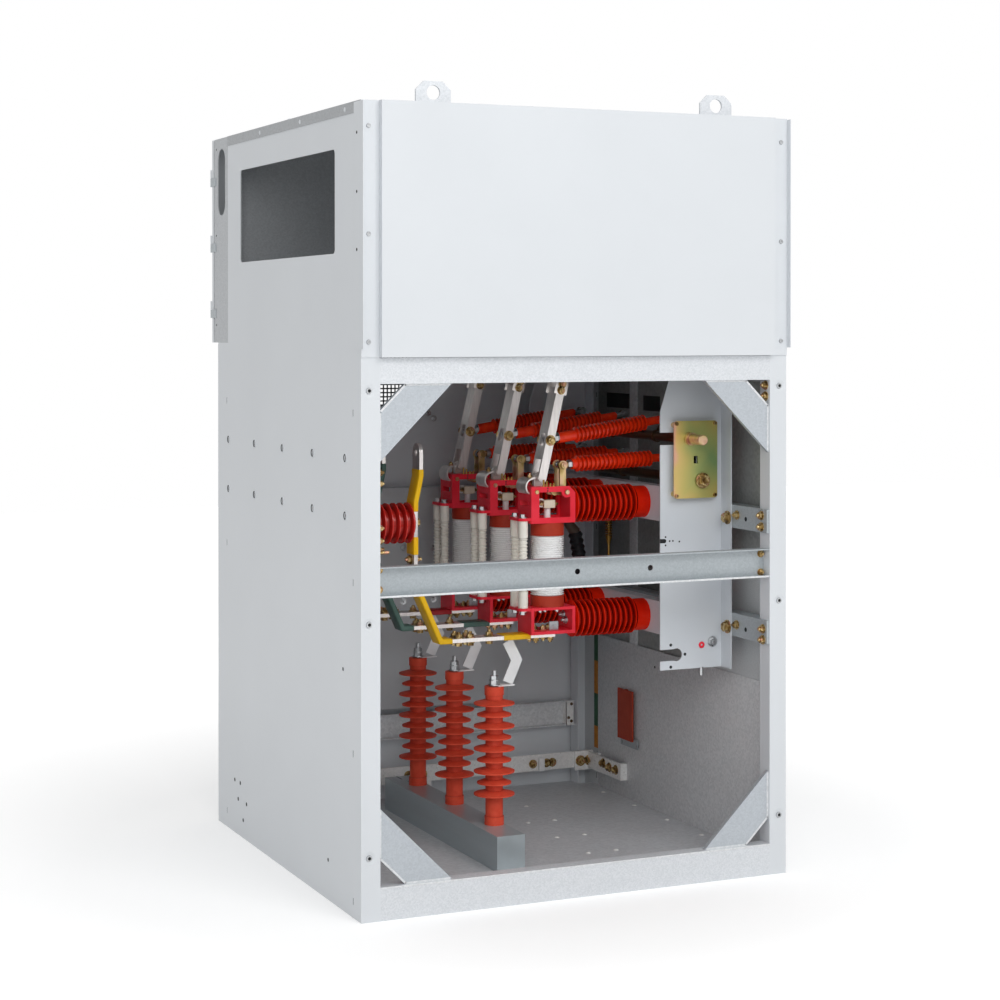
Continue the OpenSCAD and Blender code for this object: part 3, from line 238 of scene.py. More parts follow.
def painted_groove_shade(tree, colour, groove_shade_least):
    """The same colour, darkened by painted shade where the surface is hemmed in by its own ribs."""
    hemmed = add(tree, "ShaderNodeAmbientOcclusion", {"Distance": GROOVE_REACH * MM}, samples=6,
                 only_local=True)
    keep = add(tree, "ShaderNodeMapRange", {
        "Value": hemmed.outputs["AO"], "From Min": GROOVE_SHUT, "From Max": GROOVE_OPEN,
        "To Min": groove_shade_least, "To Max": 1.0})
    groove_shaded = add(tree, "ShaderNodeVectorMath", {0: colour, "Scale": keep.outputs[0]},
                 operation="SCALE")
    return groove_shaded.outputs[0]


COAT_ROUGHNESS = 0.42
COAT_PATCH = 260
PEEL = (2.2, 0.06)


def powder_coat(name, low, high):
    """Baked powder coat: an even satin film with a fine orange peel."""
    material, tree, shader, place = finish(name, high, COAT_ROUGHNESS)
    tree.links.new(drifting(tree, place, COAT_PATCH, 3, low, high), shader.inputs["Base Color"])
    rough_skin(tree, shader, place, *PEEL)
    return material


def zinc_sheet(name, low, high, grain_mm, roughness, metallic):
    """Zinc coated sheet: crystals of slightly different grey, dull where they turn away."""
    material, tree, shader, place = finish(name, high, roughness, metallic)
    warp = add(tree, "ShaderNodeTexNoise", {"Vector": place, "Scale": per_metre(grain_mm * 2)})
    shift = add(tree, "ShaderNodeVectorMath", {0: warp.outputs["Color"], "Scale": grain_mm * MM},
                operation="SCALE")
    bent = add(tree, "ShaderNodeVectorMath", {0: place, 1: shift.outputs[0]}, operation="ADD")
    crystal = add(tree, "ShaderNodeTexVoronoi", {
        "Vector": bent.outputs[0], "Scale": per_metre(grain_mm)})
    tone = add(tree, "ShaderNodeSeparateColor", {"Color": crystal.outputs["Color"]})
    colour = add(tree, "ShaderNodeValToRGB", {"Fac": tone.outputs[0]}, stops=[(0.0, low), (1.0, high)])
    tree.links.new(colour.outputs["Color"], shader.inputs["Base Color"])
    gloss = add(tree, "ShaderNodeMapRange", {
        "Value": tone.outputs[1], "To Min": roughness - 0.08, "To Max": roughness + 0.1})
    tree.links.new(gloss.outputs[0], shader.inputs["Roughness"])
    return material


ZINC_GRAIN = 3


def lined_wall(name, outside, inside, shell_mm):
    """Powder coat on the outer face of a wall and bare aluzinc within the cabinet."""
    material, tree, shader, place = finish(name, outside[1], COAT_ROUGHNESS)
    parts = add(tree, "ShaderNodeSeparateXYZ", {"Vector": place})
    away = add(tree, "ShaderNodeMath", {0: parts.outputs["X"]}, operation="ABSOLUTE")
    outer = add(tree, "ShaderNodeMath", {0: away.outputs[0], 1: shell_mm * MM},
                operation="GREATER_THAN")
    film = add(tree, "ShaderNodeMix", {
        "Factor": outer.outputs[0], 6: drifting(tree, place, ZINC_GRAIN, 4, *inside),
        7: drifting(tree, place, COAT_PATCH, 3, *outside)}, data_type="RGBA")
    tree.links.new(film.outputs[2], shader.inputs["Base Color"])
    rough_skin(tree, shader, place, *PEEL)
    return material


FLOW_PATCH = 40
GLAZE_ROUGHNESS = 0.12


def moulded(name, low, high, roughness, gloss=0.3, grain=0.03, grain_mm=1.2, coat=0.0, groove_shade_least=1.0):
    """Cast or moulded resin, rubber or glaze: an even colour with a faint flow and fine grain."""
    material, tree, shader, place = finish(name, high, roughness, gloss=gloss)
    colour = drifting(tree, place, FLOW_PATCH, 4, low, high)
    # Painted shade: where a share below 1 is given, the colour darkens in the grooves
    if groove_shade_least < 1:
        colour = painted_groove_shade(tree, colour, groove_shade_least)
    tree.links.new(colour, shader.inputs["Base Color"])
    rough_skin(tree, shader, place, grain_mm, grain)
    shader.inputs["Coat Weight"].default_value = coat
    shader.inputs["Coat Roughness"].default_value = GLAZE_ROUGHNESS
    return material


def bare_metal(name, low, high, roughness, metallic=1.0, stretch=(1, 1, 14), line_mm=6):
    """Rolled or drawn metal: fine streaks along its length and uneven gloss."""
    material, tree, shader, place = finish(name, high, roughness, metallic)
    turned = add(tree, "ShaderNodeMapping", {"Vector": place, "Scale": [1 / s for s in stretch]})
    streak = add(tree, "ShaderNodeTexNoise", {
        "Vector": turned.outputs[0], "Scale": per_metre(line_mm), "Detail": 5})
    colour = add(tree, "ShaderNodeValToRGB", {"Fac": streak.outputs["Fac"]},
                 stops=[(LOW_STOP, low), (HIGH_STOP, high)])
    tree.links.new(colour.outputs["Color"], shader.inputs["Base Color"])
    gloss = add(tree, "ShaderNodeMapRange", {
        "Value": streak.outputs["Fac"], "To Min": roughness - 0.08, "To Max": roughness + 0.12})
    tree.links.new(gloss.outputs[0], shader.inputs["Roughness"])
    return material


FASTENER_TONES = [(0.3, "#6e5630"), (0.43, "#a98a52"), (0.53, "#d2bc8a"), (0.63, "#967848"),
                  (0.74, "#c8967a")]
CORNER_SHADE = 0.35
CRANK_TONES = [(0.28, "#a58a52"), (0.45, "#cbb27c"), (0.6, "#d8b493"), (0.75, "#b8806a")]


def yellow_zinc(name, patch_mm, stops, roughness=0.34):
    """Yellow chromate over zinc: gold that drifts to brown and rose, with painted shade darkening its
    corners.
    """
    material, tree, shader, place = finish(name, stops[1][1], roughness, 0.7)
    drift = add(tree, "ShaderNodeTexNoise", {"Vector": place, "Scale": per_metre(patch_mm), "Detail": 0})
    film = add(tree, "ShaderNodeValToRGB", {"Fac": drift.outputs["Fac"]}, stops=stops)
    # Painted shade in the corners of bolts and cranks
    tree.links.new(painted_groove_shade(tree, film.outputs["Color"], CORNER_SHADE), shader.inputs["Base Color"])
    return material


PLATE_TONES = [(0.12, "#86a26a"), (0.4, "#a8b06a"), (0.65, "#c2b468"), (0.88, "#d4b670"),
               (1.0, "#dca88c")]


def rimmed_zinc(name, middle, half):
    """Yellow chromate on a flat plate: green about its thickest place, gold and rose away from it."""
    material, tree, shader, place = finish(name, "#a9a060", 0.3, 0.4)
    centred = add(tree, "ShaderNodeMapping", {
        "Vector": place, "Location": [-middle[0] / half[0], 0, -middle[1] / half[1]],
        "Scale": [per_metre(half[0]), 0, per_metre(half[1])]})
    away = add(tree, "ShaderNodeVectorMath", {0: centred.outputs[0]}, operation="ABSOLUTE")
    parts = add(tree, "ShaderNodeSeparateXYZ", {"Vector": away.outputs[0]})
    rim = add(tree, "ShaderNodeMath", {0: parts.outputs["X"], 1: parts.outputs["Z"]},
              operation="MAXIMUM")
    drift = add(tree, "ShaderNodeTexNoise", {"Vector": place, "Scale": per_metre(70), "Detail": 1})
    film = add(tree, "ShaderNodeMath", {0: drift.outputs["Fac"], 1: 0.9, 2: rim.outputs[0]},
               operation="MULTIPLY_ADD")
    even = add(tree, "ShaderNodeMapRange", {
        "Value": film.outputs[0], "From Min": 0.35, "From Max": 1.45})
    colour = add(tree, "ShaderNodeValToRGB", {"Fac": even.outputs[0]}, stops=PLATE_TONES)
    tree.links.new(colour.outputs["Color"], shader.inputs["Base Color"])
    return material


BAND_PATCH = 14
TAPE_PATCH = 10


def banded(name, first, second, axis, edges, roughness=0.4, metal=(0.0, 0.0), gloss=0.3, groove_shade_least=1.0):
    """Two finishes along one axis: the second lies between the two edges, in millimetres."""
    material, tree, shader, place = finish(name, first[0], roughness, gloss=gloss)
    parts = add(tree, "ShaderNodeSeparateXYZ", {"Vector": place})
    middle = (edges[0] + edges[1]) / 2 * MM
    reach = (edges[1] - edges[0]) / 2 * MM
    inside = add(tree, "ShaderNodeMath", {0: parts.outputs[axis], 1: middle, 2: reach},
                 operation="COMPARE")
    colour = add(tree, "ShaderNodeMix", {
        "Factor": inside.outputs[0], 6: drifting(tree, place, BAND_PATCH, 3, *first),
        7: drifting(tree, place, BAND_PATCH, 3, *second)}, data_type="RGBA").outputs[2]
    # Painted shade: where a share below 1 is given, the colour darkens in the grooves of the ribs
    if groove_shade_least < 1:
        colour = painted_groove_shade(tree, colour, groove_shade_least)
    tree.links.new(colour, shader.inputs["Base Color"])
    shine = add(tree, "ShaderNodeMapRange", {
        "Value": inside.outputs[0], "To Min": metal[0], "To Max": metal[1]})
    tree.links.new(shine.outputs[0], shader.inputs["Metallic"])
    return material


def striped(name, first, second, start_mm, pitch_mm):
    """Wound tape: two colours that take turns up the strap."""
    material, tree, shader, place = finish(name, first[0], 0.45)
    parts = add(tree, "ShaderNodeSeparateXYZ", {"Vector": place})
    turns = add(tree, "ShaderNodeMapRange", {
        "Value": parts.outputs["Z"], "From Min": start_mm * MM, "From Max": (start_mm + pitch_mm) * MM},
        clamp=False)
    share = add(tree, "ShaderNodeMath", {0: turns.outputs[0]}, operation="FRACT")
    upper = add(tree, "ShaderNodeMath", {0: share.outputs[0], 1: 0.5}, operation="GREATER_THAN")
    colour = add(tree, "ShaderNodeMix", {
        "Factor": upper.outputs[0], 6: drifting(tree, place, TAPE_PATCH, 3, *first),
        7: drifting(tree, place, TAPE_PATCH, 3, *second)}, data_type="RGBA")
    tree.links.new(colour.outputs[2], shader.inputs["Base Color"])
    return material


PAINT = ("#d9dde1", "#dce0e4")
WALL_ZINC = ("#c8ccce", "#d5d8da")
TIN = ("#d2cdcb", "#e4dfdc")
ROD_RED = ("#f22c0b", "#ff4117")
STEEL = ("#a9abad", "#c8cacc")
SILICONE = ("#d64a34", "#e3573f")
CERAMIC = ("#fafafa", "#ffffff")
BLOCK_CREAM = ("#dcd3bb", "#e8e0cc")
RESIN_RED = ("#dc1b05", "#ee290b")

FINISHES = {
    # Sheet metal
    "paint": powder_coat("light_grey_powder_coat", *PAINT),
    "wall": lined_wall("wall_powder_coat_and_aluzinc", PAINT, WALL_ZINC, HALF_WIDTH - 1),
    # Painted shade: the light grey coat made darker for the mechanism plate, which lies in shadow deep
    # in the cabinet
    "shade_darkened_paint": powder_coat("painted_shade_grey_powder_coat", "#bcc0c3", "#c5c9cc"),
    "switch_paint": powder_coat("pale_grey_powder_coat", "#ced3d9", "#d8dde2"),
    # The crystals of these sheets are drawn a little coarse, so that they show
    "aluzinc": zinc_sheet("aluzinc_sheet", "#d1d5d9", "#dfe2e6", 2.6, 0.45, 0.2),
    "grey_zinc": zinc_sheet("grey_zinc_sheet", "#b2b5b8", "#bfc2c5", 3.2, 0.48, 0.2),
    # Also the bright edge strips of rails and gussets, where its lightness is painted highlight
    "bright_zinc": zinc_sheet("bright_zinc_sheet", "#d3d6d8", "#e6e8ea", 5.0, 0.42, 0.12),
    "galvanised": zinc_sheet("galvanised_sheet", "#a4abaf", "#afb6ba", 3.0, 0.4, 0.3),
    "gusset": zinc_sheet("gusset_zinc_sheet", "#b2b8be", "#bdc3c9", 3.0, 0.42, 0.3),
    "floor": zinc_sheet("floor_zinc_sheet", "#ced1d4", "#dadde0", 7.0, 0.5, 0.2),
    "roof_zinc": zinc_sheet("roof_zinc_sheet", "#a2a5a8", "#aeb1b4", 3.2, 0.48, 0.2),
    # Painted shade: a darker zinc for the sheet laid over the shaded upper right wall
    "shade_zinc": zinc_sheet("painted_shade_zinc_sheet", "#979a99", "#a5a8a7", 6.0, 0.5, 0.2),
    "rolled_zinc": bare_metal("rolled_zinc_channel", "#aeb7bb", "#b7c0c4", 0.3, 0.4, (1, 14, 1), 30),
    # Resin, rubber, braid and sleeves
    # A groove shade share below 1 paints shade into the grooves between ribs and sheds
    "red_resin": moulded("red_epoxy_resin", *RESIN_RED, 0.24, gloss=0.12, groove_shade_least=0.06),
    "dark_red_resin": moulded("dark_red_epoxy_resin", "#c4271f", "#d6322a", 0.26, coat=0.12,
                              groove_shade_least=0.35),
    "crimson": moulded("crimson_moulding", "#ea2438", "#f53246", 0.42),
    "cap_rubber": moulded("brick_red_silicone", "#a93422", "#b83f2a", 0.5, gloss=0.2),
    "heater_rubber": moulded("brown_red_silicone_mat", "#a83e29", "#b64932", 0.55, gloss=0.2),
    "cream": moulded("cream_resin", "#f2eee2", "#faf7ee", 0.42, groove_shade_least=0.8),
    "white_braid": moulded("white_braid", "#e9eaeb", "#f4f5f6", 0.6, grain_mm=1.6, grain=0.25),
    "yellow_sleeve": moulded("yellow_shrink_sleeve", "#f2bc08", "#fac70f", 0.38),
    "green_sleeve": moulded("green_shrink_sleeve", "#456058", "#526f66", 0.42),
    "red_sleeve": moulded("red_shrink_sleeve", "#a3242a", "#b53036", 0.42),
    # Painted shade: the dark seen inside holes, slots, sockets, seams and openings
    "dark": moulded("painted_shade_recess", "#1d1f21", "#2a2c2e", 0.7),
    "boot_rubber": moulded("black_rubber_boot", "#16171a", "#232427", 0.5),
    "brown_rubber": moulded("brown_rubber_elbow", "#41342b", "#524338", 0.55),
    # Bars, plates and fasteners
    "tinned": bare_metal("tinned_copper", *TIN, 0.32, 0.85),
    "bright_tin": zinc_sheet("bright_tinned_bar", "#e9e9e7", "#f6f6f4", 4.0, 0.35, 0.1),
    "steel": bare_metal("stainless_steel", *STEEL, 0.28),
    "chromate": rimmed_zinc("yellow_zinc_plate", (392, 880), (92, 120)),
    "crank_zinc": yellow_zinc("yellow_zinc_crank", 22, CRANK_TONES),
    "gold_bolt": yellow_zinc("yellow_zinc_fastener", 12, FASTENER_TONES, 0.3),
    "brass": bare_metal("drawn_brass", "#8a6b35", "#b08c4c", 0.35),
    "shaft": bare_metal("oiled_shaft_steel", "#5d4a38", "#7c6650", 0.42, 1.0, (1, 14, 1)),
    "wire": bare_metal("dark_wire", "#3c3f41", "#505355", 0.45),
    # Nodes whose one body carries two materials
    # The rods and the arresters also carry painted shade in the grooves of their ribs
    "pull_rods": banded("red_pull_rod_with_steel_ends", STEEL, ROD_RED, 0, (90, 346), 0.16,
                        (1.0, 0.0), groove_shade_least=0.3),
    "drive_rods": banded("red_drive_rod_with_steel_ends", STEEL, ROD_RED, 0, (121, 348), 0.16,
                         (1.0, 0.0), groove_shade_least=0.3),
    "contacts": banded("bushing_with_contact", RESIN_RED, TIN, 2, (1000, 1106), 0.34,
                       (0.0, 0.85)),
    "bottle": banded("ceramic_with_cream_block", CERAMIC, BLOCK_CREAM, 2, (766, 800), 0.25),
    "arrester": banded("silicone_with_stud", SILICONE, STEEL, 2, (388, 440), 0.45,
                       (0.0, 1.0), gloss=0.15, groove_shade_least=0.45),
    "earth_tape": striped("green_and_yellow_tape", ("#b5720f", "#c98315"),
                          ("#244f33", "#316343"), 81, 163),
}

NODE_FINISHES = {
    "wall": ["side_panel_left", "side_panel_right"],
    "paint": ["service_posts", "front_posts", "upper_cover", "cover_side_strips",
              "instrument_door", "front_panel"],
    "shade_darkened_paint": ["mechanism_plate"],
    "switch_paint": ["switch_side_plates", "switch_beams"],
    "aluzinc": ["bottom_rail", "upper_rail", "lifting_lugs", "busbar_partition"],
    "rolled_zinc": ["arrester_base"],
    "roof_zinc": ["roof_panel"],
    "grey_zinc": ["instrument_box"],
    "bright_zinc": ["front_cross_channel"],
    "galvanised": ["middle_rail", "wall_mounting_rails", "box_hinges"],
    "gusset": ["corner_gussets"],
    "floor": ["floor_plate"],
    "red_resin": ["pole_insulators"],
    "cap_rubber": ["interrupter_caps"],
    "dark_red_resin": ["support_insulators"],
    "crimson": ["upper_pole_frames", "lower_pole_frames"],
    "heater_rubber": ["heater_plate"],
    "cream": ["insulating_posts"],
    "tinned": ["blade_hinges", "isolating_blades", "busbars"],
    "bright_tin": ["earth_bar"],
    "chromate": ["bearing_plate"],
    "crank_zinc": ["bell_cranks"],
    "shaft": ["isolator_shaft", "drive_shaft"],
    "white_braid": ["arrester_straps"],
    "wire": ["mesh_screen"],
    "earth_tape": ["earth_strap"],
    "pull_rods": ["blade_pull_rods"],
    "drive_rods": ["drive_rods"],
    "contacts": ["fixed_contacts"],
    "bottle": ["interrupters"],
    "arrester": ["surge_arresters"],
}


def dress_nodes():
    for key, names in NODE_FINISHES.items():
        for name in names:
            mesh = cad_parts[name].data
            mesh.materials.clear()
            mesh.materials.append(FINISHES[key])


# Building blocks for the small pieces

def facing(centre, axis):
    """Matrix that puts a shape at a point with its own Z along the axis."""
    return Matrix.Translation(centre) @ axis.to_track_quat("Z", "Y").to_matrix().to_4x4()


def blanks(count):
    """Meshes in the making, still empty."""
    return [bmesh.new() for _ in range(count)]


def disc(bm, foot, axis, radius, height, sides=20, top=None):
    """A round or many-sided button that stands on its foot; top is the radius at its far end."""
    far = radius if top is None else top
    return bmesh.ops.create_cone(
        bm, cap_ends=True, segments=sides, radius1=radius * MM, radius2=far * MM,
        depth=height * MM, matrix=facing(foot + axis * (height / 2 * MM), axis))["verts"]


def block(bm, centre, size, turn=None):
    """A box of this size in metres about its centre, turned where there is a turn."""
    bmesh.ops.create_cube(bm, size=1, matrix=Matrix.LocRotScale(centre, turn, size))


def box(bm, corner, opposite):
    """A box between two opposite corners given in width, depth and height."""
    first, last = at(*corner), at(*opposite)
    block(bm, (first + last) / 2, Vector([abs(length) for length in last - first]))


def soften(bm, radius):
    """Rounds every edge of the shapes made so far."""
    bmesh.ops.bevel(bm, geom=bm.edges[:], offset=radius * MM, segments=2, profile=0.5,
                    affect="EDGES", material=-1)


def ring(bm, centre, axis, radius, thick, turns=1, rise=0):
    """A ring of round wire about an axis, or a coil where it rises and has more turns."""
    side = axis.orthogonal().normalized()
    start = bmesh.ops.create_circle(bm, segments=8, radius=thick * MM,
                                    matrix=facing(centre + side * (radius * MM), axis.cross(side)))
    edges = {edge for vert in start["verts"] for edge in vert.link_edges}
    steps = 20 * turns
    bmesh.ops.spin(bm, geom=start["verts"] + list(edges), cent=centre, axis=axis,
                   dvec=axis * (rise / steps * MM), angle=math.tau * turns, steps=steps,
                   use_merge=turns == 1)
    bmesh.ops.holes_fill(bm, edges=[edge for edge in bm.edges if edge.is_boundary])


HEX_CORNER = 2 / math.sqrt(3)


def hex_bolt(bm, foot, axis, across, thread):
    """Washer, hexagon head and any end of thread, as shares of the width across flats."""
    washer_t = across * 0.12
    head = across * 0.5
    disc(bm, foot, axis, across * 0.78, washer_t)
    disc(bm, foot + axis * (washer_t * MM), axis, across / 2 * HEX_CORNER, head, 6,
         across / 2 * HEX_CORNER * 0.95)
    if thread:
        disc(bm, foot + axis * ((washer_t + head) * MM), axis, across * 0.32, thread, 12,
             across * 0.27)


def socket_screw(bm, foot, axis, radius, height):
    """Low round screw head with a hollow in its top."""
    verts = disc(bm, foot, axis, radius, height, 18, radius * 0.86)
    faces = {face for vert in verts for face in vert.link_faces}
    top = max(faces, key=lambda face: face.calc_center_median().dot(axis))
    bmesh.ops.inset_individual(bm, faces=[top], thickness=radius * 0.32 * MM)
    bmesh.ops.inset_individual(bm, faces=[top], thickness=radius * 0.06 * MM,
                               depth=-height * 0.7 * MM)


def attach(name, bm, key, body="cabinet", sharp_deg=32):
    """Turns a mesh in the making into a piece that rides on a body."""
    bmesh.ops.recalc_face_normals(bm, faces=bm.faces)
    mesh = bpy.data.meshes.new(name)
    bm.to_mesh(mesh)
    bm.free()
    for polygon in mesh.polygons:
        polygon.use_smooth = True
    mesh.set_sharp_from_angle(angle=math.radians(sharp_deg))
    mesh.materials.append(FINISHES[key])
    piece = bpy.data.objects.new(name, mesh)
    bpy.context.scene.collection.objects.link(piece)
    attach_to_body(piece, body)
    return piece


# Hexagon bolts of the cabinet

RAIL_WEB_DEPTH = 25
WALL_RAIL_X = 434
PLATE_FLANGE_X = 431
MECHANISM_FACE = 930
FRONT_FACE = 957.5
BLOCK_Z = 775
POST_X = -2
POST_GAP = 20.5
UPPER_FLANGE_TOP = 748
LOWER_FLANGE_LOW = 548
LOWER_PLATE_TOP = 503
LOWER_WEB = 109
BAR_TOP, BAR_LOW = 496, 488
BAR_STUDS = [(-150, 9), (-148, -9), (-123, 9), (-121, -9), (-73, 0)]
BAR_JOINT_Z = 668
EARTH_FACE = 912.5
EARTH_BOLT_Z = 76
EARTH_JOINT_FACE = 902
SIDE_BAR_X = 459
# A set has a finish, the depths that its places are counted from, and rows. A row has a direction,
# the size across flats, the length of thread that shows, and places by width, depth and height.
BOLT_SETS = {
    "gold_cabinet_bolts": ("gold_bolt", [0], [
        (SERVICE, 10, 5, [
            (x, RAIL_WEB_DEPTH, z) for x, z in ((-433, 683), (-433, 644), (432, 678), (432, 639))]),
        (LEFT, 13, 4, [(WALL_RAIL_X, *place) for place in (
            (24, 759), (24, 735), (18, 519), (18, 496), (126, 752), (127, 514))]),
        (LEFT, 13, 4, [(POST_INNER, 17, 1036), (POST_INNER, 17, 1013)]),
        (RIGHT, 11, 4, [(-POST_INNER, 9, z) for z in (875, 853, 766, 741)]),
        (RIGHT, 12, 22, [(-POST_INNER, 30, 716)]),
        (LEFT, 19, 0, [(PLATE_FLANGE_X, 161, 744), (PLATE_FLANGE_X, 161, 506)])]),
    "mechanism_plate_bolts": ("steel", [0], [
        (SERVICE, 10, 4, [
            (x, MECHANISM_FACE, z) for x, z in ((-26, 625), (53, 622), (-26, 495), (53, 496))]),
        (SERVICE, 10, 4, [(65, FRONT_FACE, 936), (50, FRONT_FACE, 949)])]),
    "contact_block_screws": ("gold_bolt", PHASE_DEPTHS, [
        (LEFT, 9, 2, [(52, -5, BLOCK_Z)]), (RIGHT, 9, 5, [(78, -5, BLOCK_Z)])]),
    "pole_steel_bolts": ("steel", PHASE_DEPTHS, [
        (UP, 13, 0, [(POST_X, side * POST_GAP, UPPER_FLANGE_TOP) for side in (-1, 1)]),
        (DOWN, 13, 0, [(POST_X, side * POST_GAP, LOWER_FLANGE_LOW) for side in (-1, 1)]),
        (DOWN, 9, 2, [(x, off, LOWER_FLANGE_LOW) for x, off in ((43, -12), (58, -4), (83, -12))]),
        (LEFT, 11, 5, [(LOWER_WEB, -4, 521), (LOWER_WEB, 8, 532)])]),
    "pole_gold_bolts": ("gold_bolt", PHASE_DEPTHS, [
        (UP, 12, 3, [(x, off, LOWER_PLATE_TOP) for x, off in ((36, 4), (52, -6), (70, 6))])]),
    "hinge_bolts": ("gold_bolt", PHASE_DEPTHS, [(UP, 9, 3, [(23, 0, 834)])]),
    "busbar_bolts": ("gold_bolt", PHASE_DEPTHS, [
        (UP, 14, 5, [(x, off, BAR_TOP) for x, off in BAR_STUDS]),
        (DOWN, 14, 0, [(x, off, BAR_LOW) for x, off in BAR_STUDS]),
        (DOWN, 13, 4, [(x, off, BAR_LOW) for x, off in ((33, -10), (67, -10), (27, 10), (60, 10))]),
        (RIGHT, 17, 2, [(-246, 0, 746)]),
        (LEFT, 13, 4, [(-254, 0, BAR_JOINT_Z)]), (RIGHT, 13, 8, [(-246, 0, BAR_JOINT_Z)])]),
    "earth_bar_bolts": ("gold_bolt", [0], [
        (SERVICE, 14, 5, [(x, EARTH_FACE, EARTH_BOLT_Z) for x in (-265, -20, 18, 312, 349, 365)]),
        (SERVICE, 17, 5, [(x, EARTH_JOINT_FACE, EARTH_BOLT_Z) for x in (438, 462)]),
        (LEFT, 15, 3, [(SIDE_BAR_X, *place) for place in ((816, 84), (782, 80), (748, 80))])]),
}


def bolt_sets():
    for name, (key, depths, rows) in BOLT_SETS.items():
        bm = bmesh.new()
        for depth in depths:
            for axis, across, thread, places in rows:
                for x, off, z in places:
                    hex_bolt(bm, at(x, depth + off, z), axis, across, thread)
        attach(name, bm, key)


# Cabinet screws and marks

# Holes and slots are drawn as dark marks of painted shade
MARK = 0.3  # thickness of a dark disc that stands for a hole
POST_SCREW_X = 463
POST_SCREW_Z = [125, 580, 1035]
POST_SCREW = (6.5, 3)
SOCKET_LIFT = 0.9
DIMPLE_DEPTH = 1.5
COVER_SCREW_X = 465
COVER_SCREW_Z = [1130, 1340, 1550]
COVER_SCREW = (5, 2.5)
COVER_FLANGE_DEPTH = -2.5


def cabinet_screws():
    heads, sockets = blanks(2)
    for side in (-1, 1):
        for z in POST_SCREW_Z:
            foot = at(side * POST_SCREW_X, DIMPLE_DEPTH, z)
            socket_screw(heads, foot, SERVICE, *POST_SCREW)
            # Painted shade: a dark hexagon in the hollow of each post screw
            disc(sockets, foot + SERVICE * (SOCKET_LIFT * MM), SERVICE, 3.6, 0.4, 6)
        for z in COVER_SCREW_Z:
            socket_screw(heads, at(side * COVER_SCREW_X, COVER_FLANGE_DEPTH, z), SERVICE, *COVER_SCREW)
    attach("cabinet_screws", heads, "steel")
    attach("cabinet_screw_socket_shades", sockets, "dark")


WALL_RAIL_HOLES = [(89, 746), (89, 508)]


def wall_rail_holes():
    bm = bmesh.new()
    for depth, z in WALL_RAIL_HOLES:
        # Painted shade: a dark disc stands for each hole in the rail
        disc(bm, at(WALL_RAIL_X, depth, z), LEFT, 5, MARK, 18)
    attach("wall_rail_holes", bm, "dark")


ROW_DEPTHS = [90, 287, 484, 681, 878]
ROW_Z = [786, 900]
ROW_RIM = (9.4, 1.5)
ROW_EDGE = (7.3, 1.2)
WALL_DIMPLES = [(100, 481), (189, 82)]
WALL_HOLES = [(831, 121), (789, 121), (805, 82), (742, 82), (767, 41)]
WALL_SLOTS = [(45, 33), (45, 323), (45, 659), (45, 992), (892, 38), (892, 661), (892, 991)]


def wall_marks():
    """Pressed rims round the row joining holes, with a dark ring of painted shade inside each rim, and
    dark marks of painted shade in the dimples, small holes and slots.
    """
    rims, darks = blanks(2)
    for side in (-1, 1):
        outward = Vector((side, 0, 0))
        face = side * HALF_WIDTH
        for depth in ROW_DEPTHS:
            for z in ROW_Z:
                ring(rims, at(face, depth, z), outward, *ROW_RIM)
                # Painted shade inside the pressed rim
                ring(darks, at(face, depth, z), outward, *ROW_EDGE)
        for depth, z in WALL_DIMPLES:
            disc(rims, at(face, depth, z), outward, 8.5, 1.0, 24, 5.5)
            disc(darks, at(face, depth, z), outward, 4.0, 1.1, 16)
        for depth, z in WALL_HOLES:
            disc(darks, at(face, depth, z), outward, 4.5, MARK, 16)
        for depth, z in WALL_SLOTS:
            box(darks, (side * (HALF_WIDTH - 1.6), depth - 2, z - 7),
                (side * (HALF_WIDTH - 1), depth + 2, z + 7))
    attach("wall_hole_rims", rims, "paint")
    attach("wall_hole_shade_marks", darks, "dark")


STRIP_HOLES = [(19, 1538), (19, 1423), (19, 1310)]
LIP_RIVETS = [(87, 1588), (362, 1588), (636, 1588)]
BOX_HOLES = [(974, 1576), (974, 1374), (974, 1164)]
LIP_FACE = 481.5


def upper_marks():
    darks, rivets = blanks(2)
    for side in (-1, 1):
        outward = Vector((side, 0, 0))
        # Painted shade: dark discs stand for the small holes in the strips and the box
        for depth, z in STRIP_HOLES:
            disc(darks, at(side * LIP_FACE, depth, z), outward, 3.2, MARK, 14)
        for depth, z in BOX_HOLES:
            disc(darks, at(side * HALF_WIDTH, depth, z), outward, 2.4, MARK, 12)
        for depth, z in LIP_RIVETS:
            disc(rivets, at(side * LIP_FACE, depth, z), outward, 5, 1.4, 16, 3)
    attach("small_hole_shade_marks", darks, "dark")
    attach("roof_lip_rivets", rivets, "paint")


FLOOR_TOP = 15
FLOOR_RIVETS = [(x, depth) for x in (146, 214) for depth in (270, 426, 582, 738)]
FLOOR_RIVETS += [(453, depth) for depth in (315, 478, 641, 804)]


def floor_rivets():
    bm = bmesh.new()
    for x, depth in FLOOR_RIVETS:
        disc(bm, at(x, depth, FLOOR_TOP), UP, 6, 2, 16, 3.5)
    attach("floor_rivets", bm, "bright_tin")


GUSSET_FACE = 6
GUSSET_OUTER = 54
GUSSET_INNER = 154
RIM_WIDE = 4
RIM_PROUD = 0.8


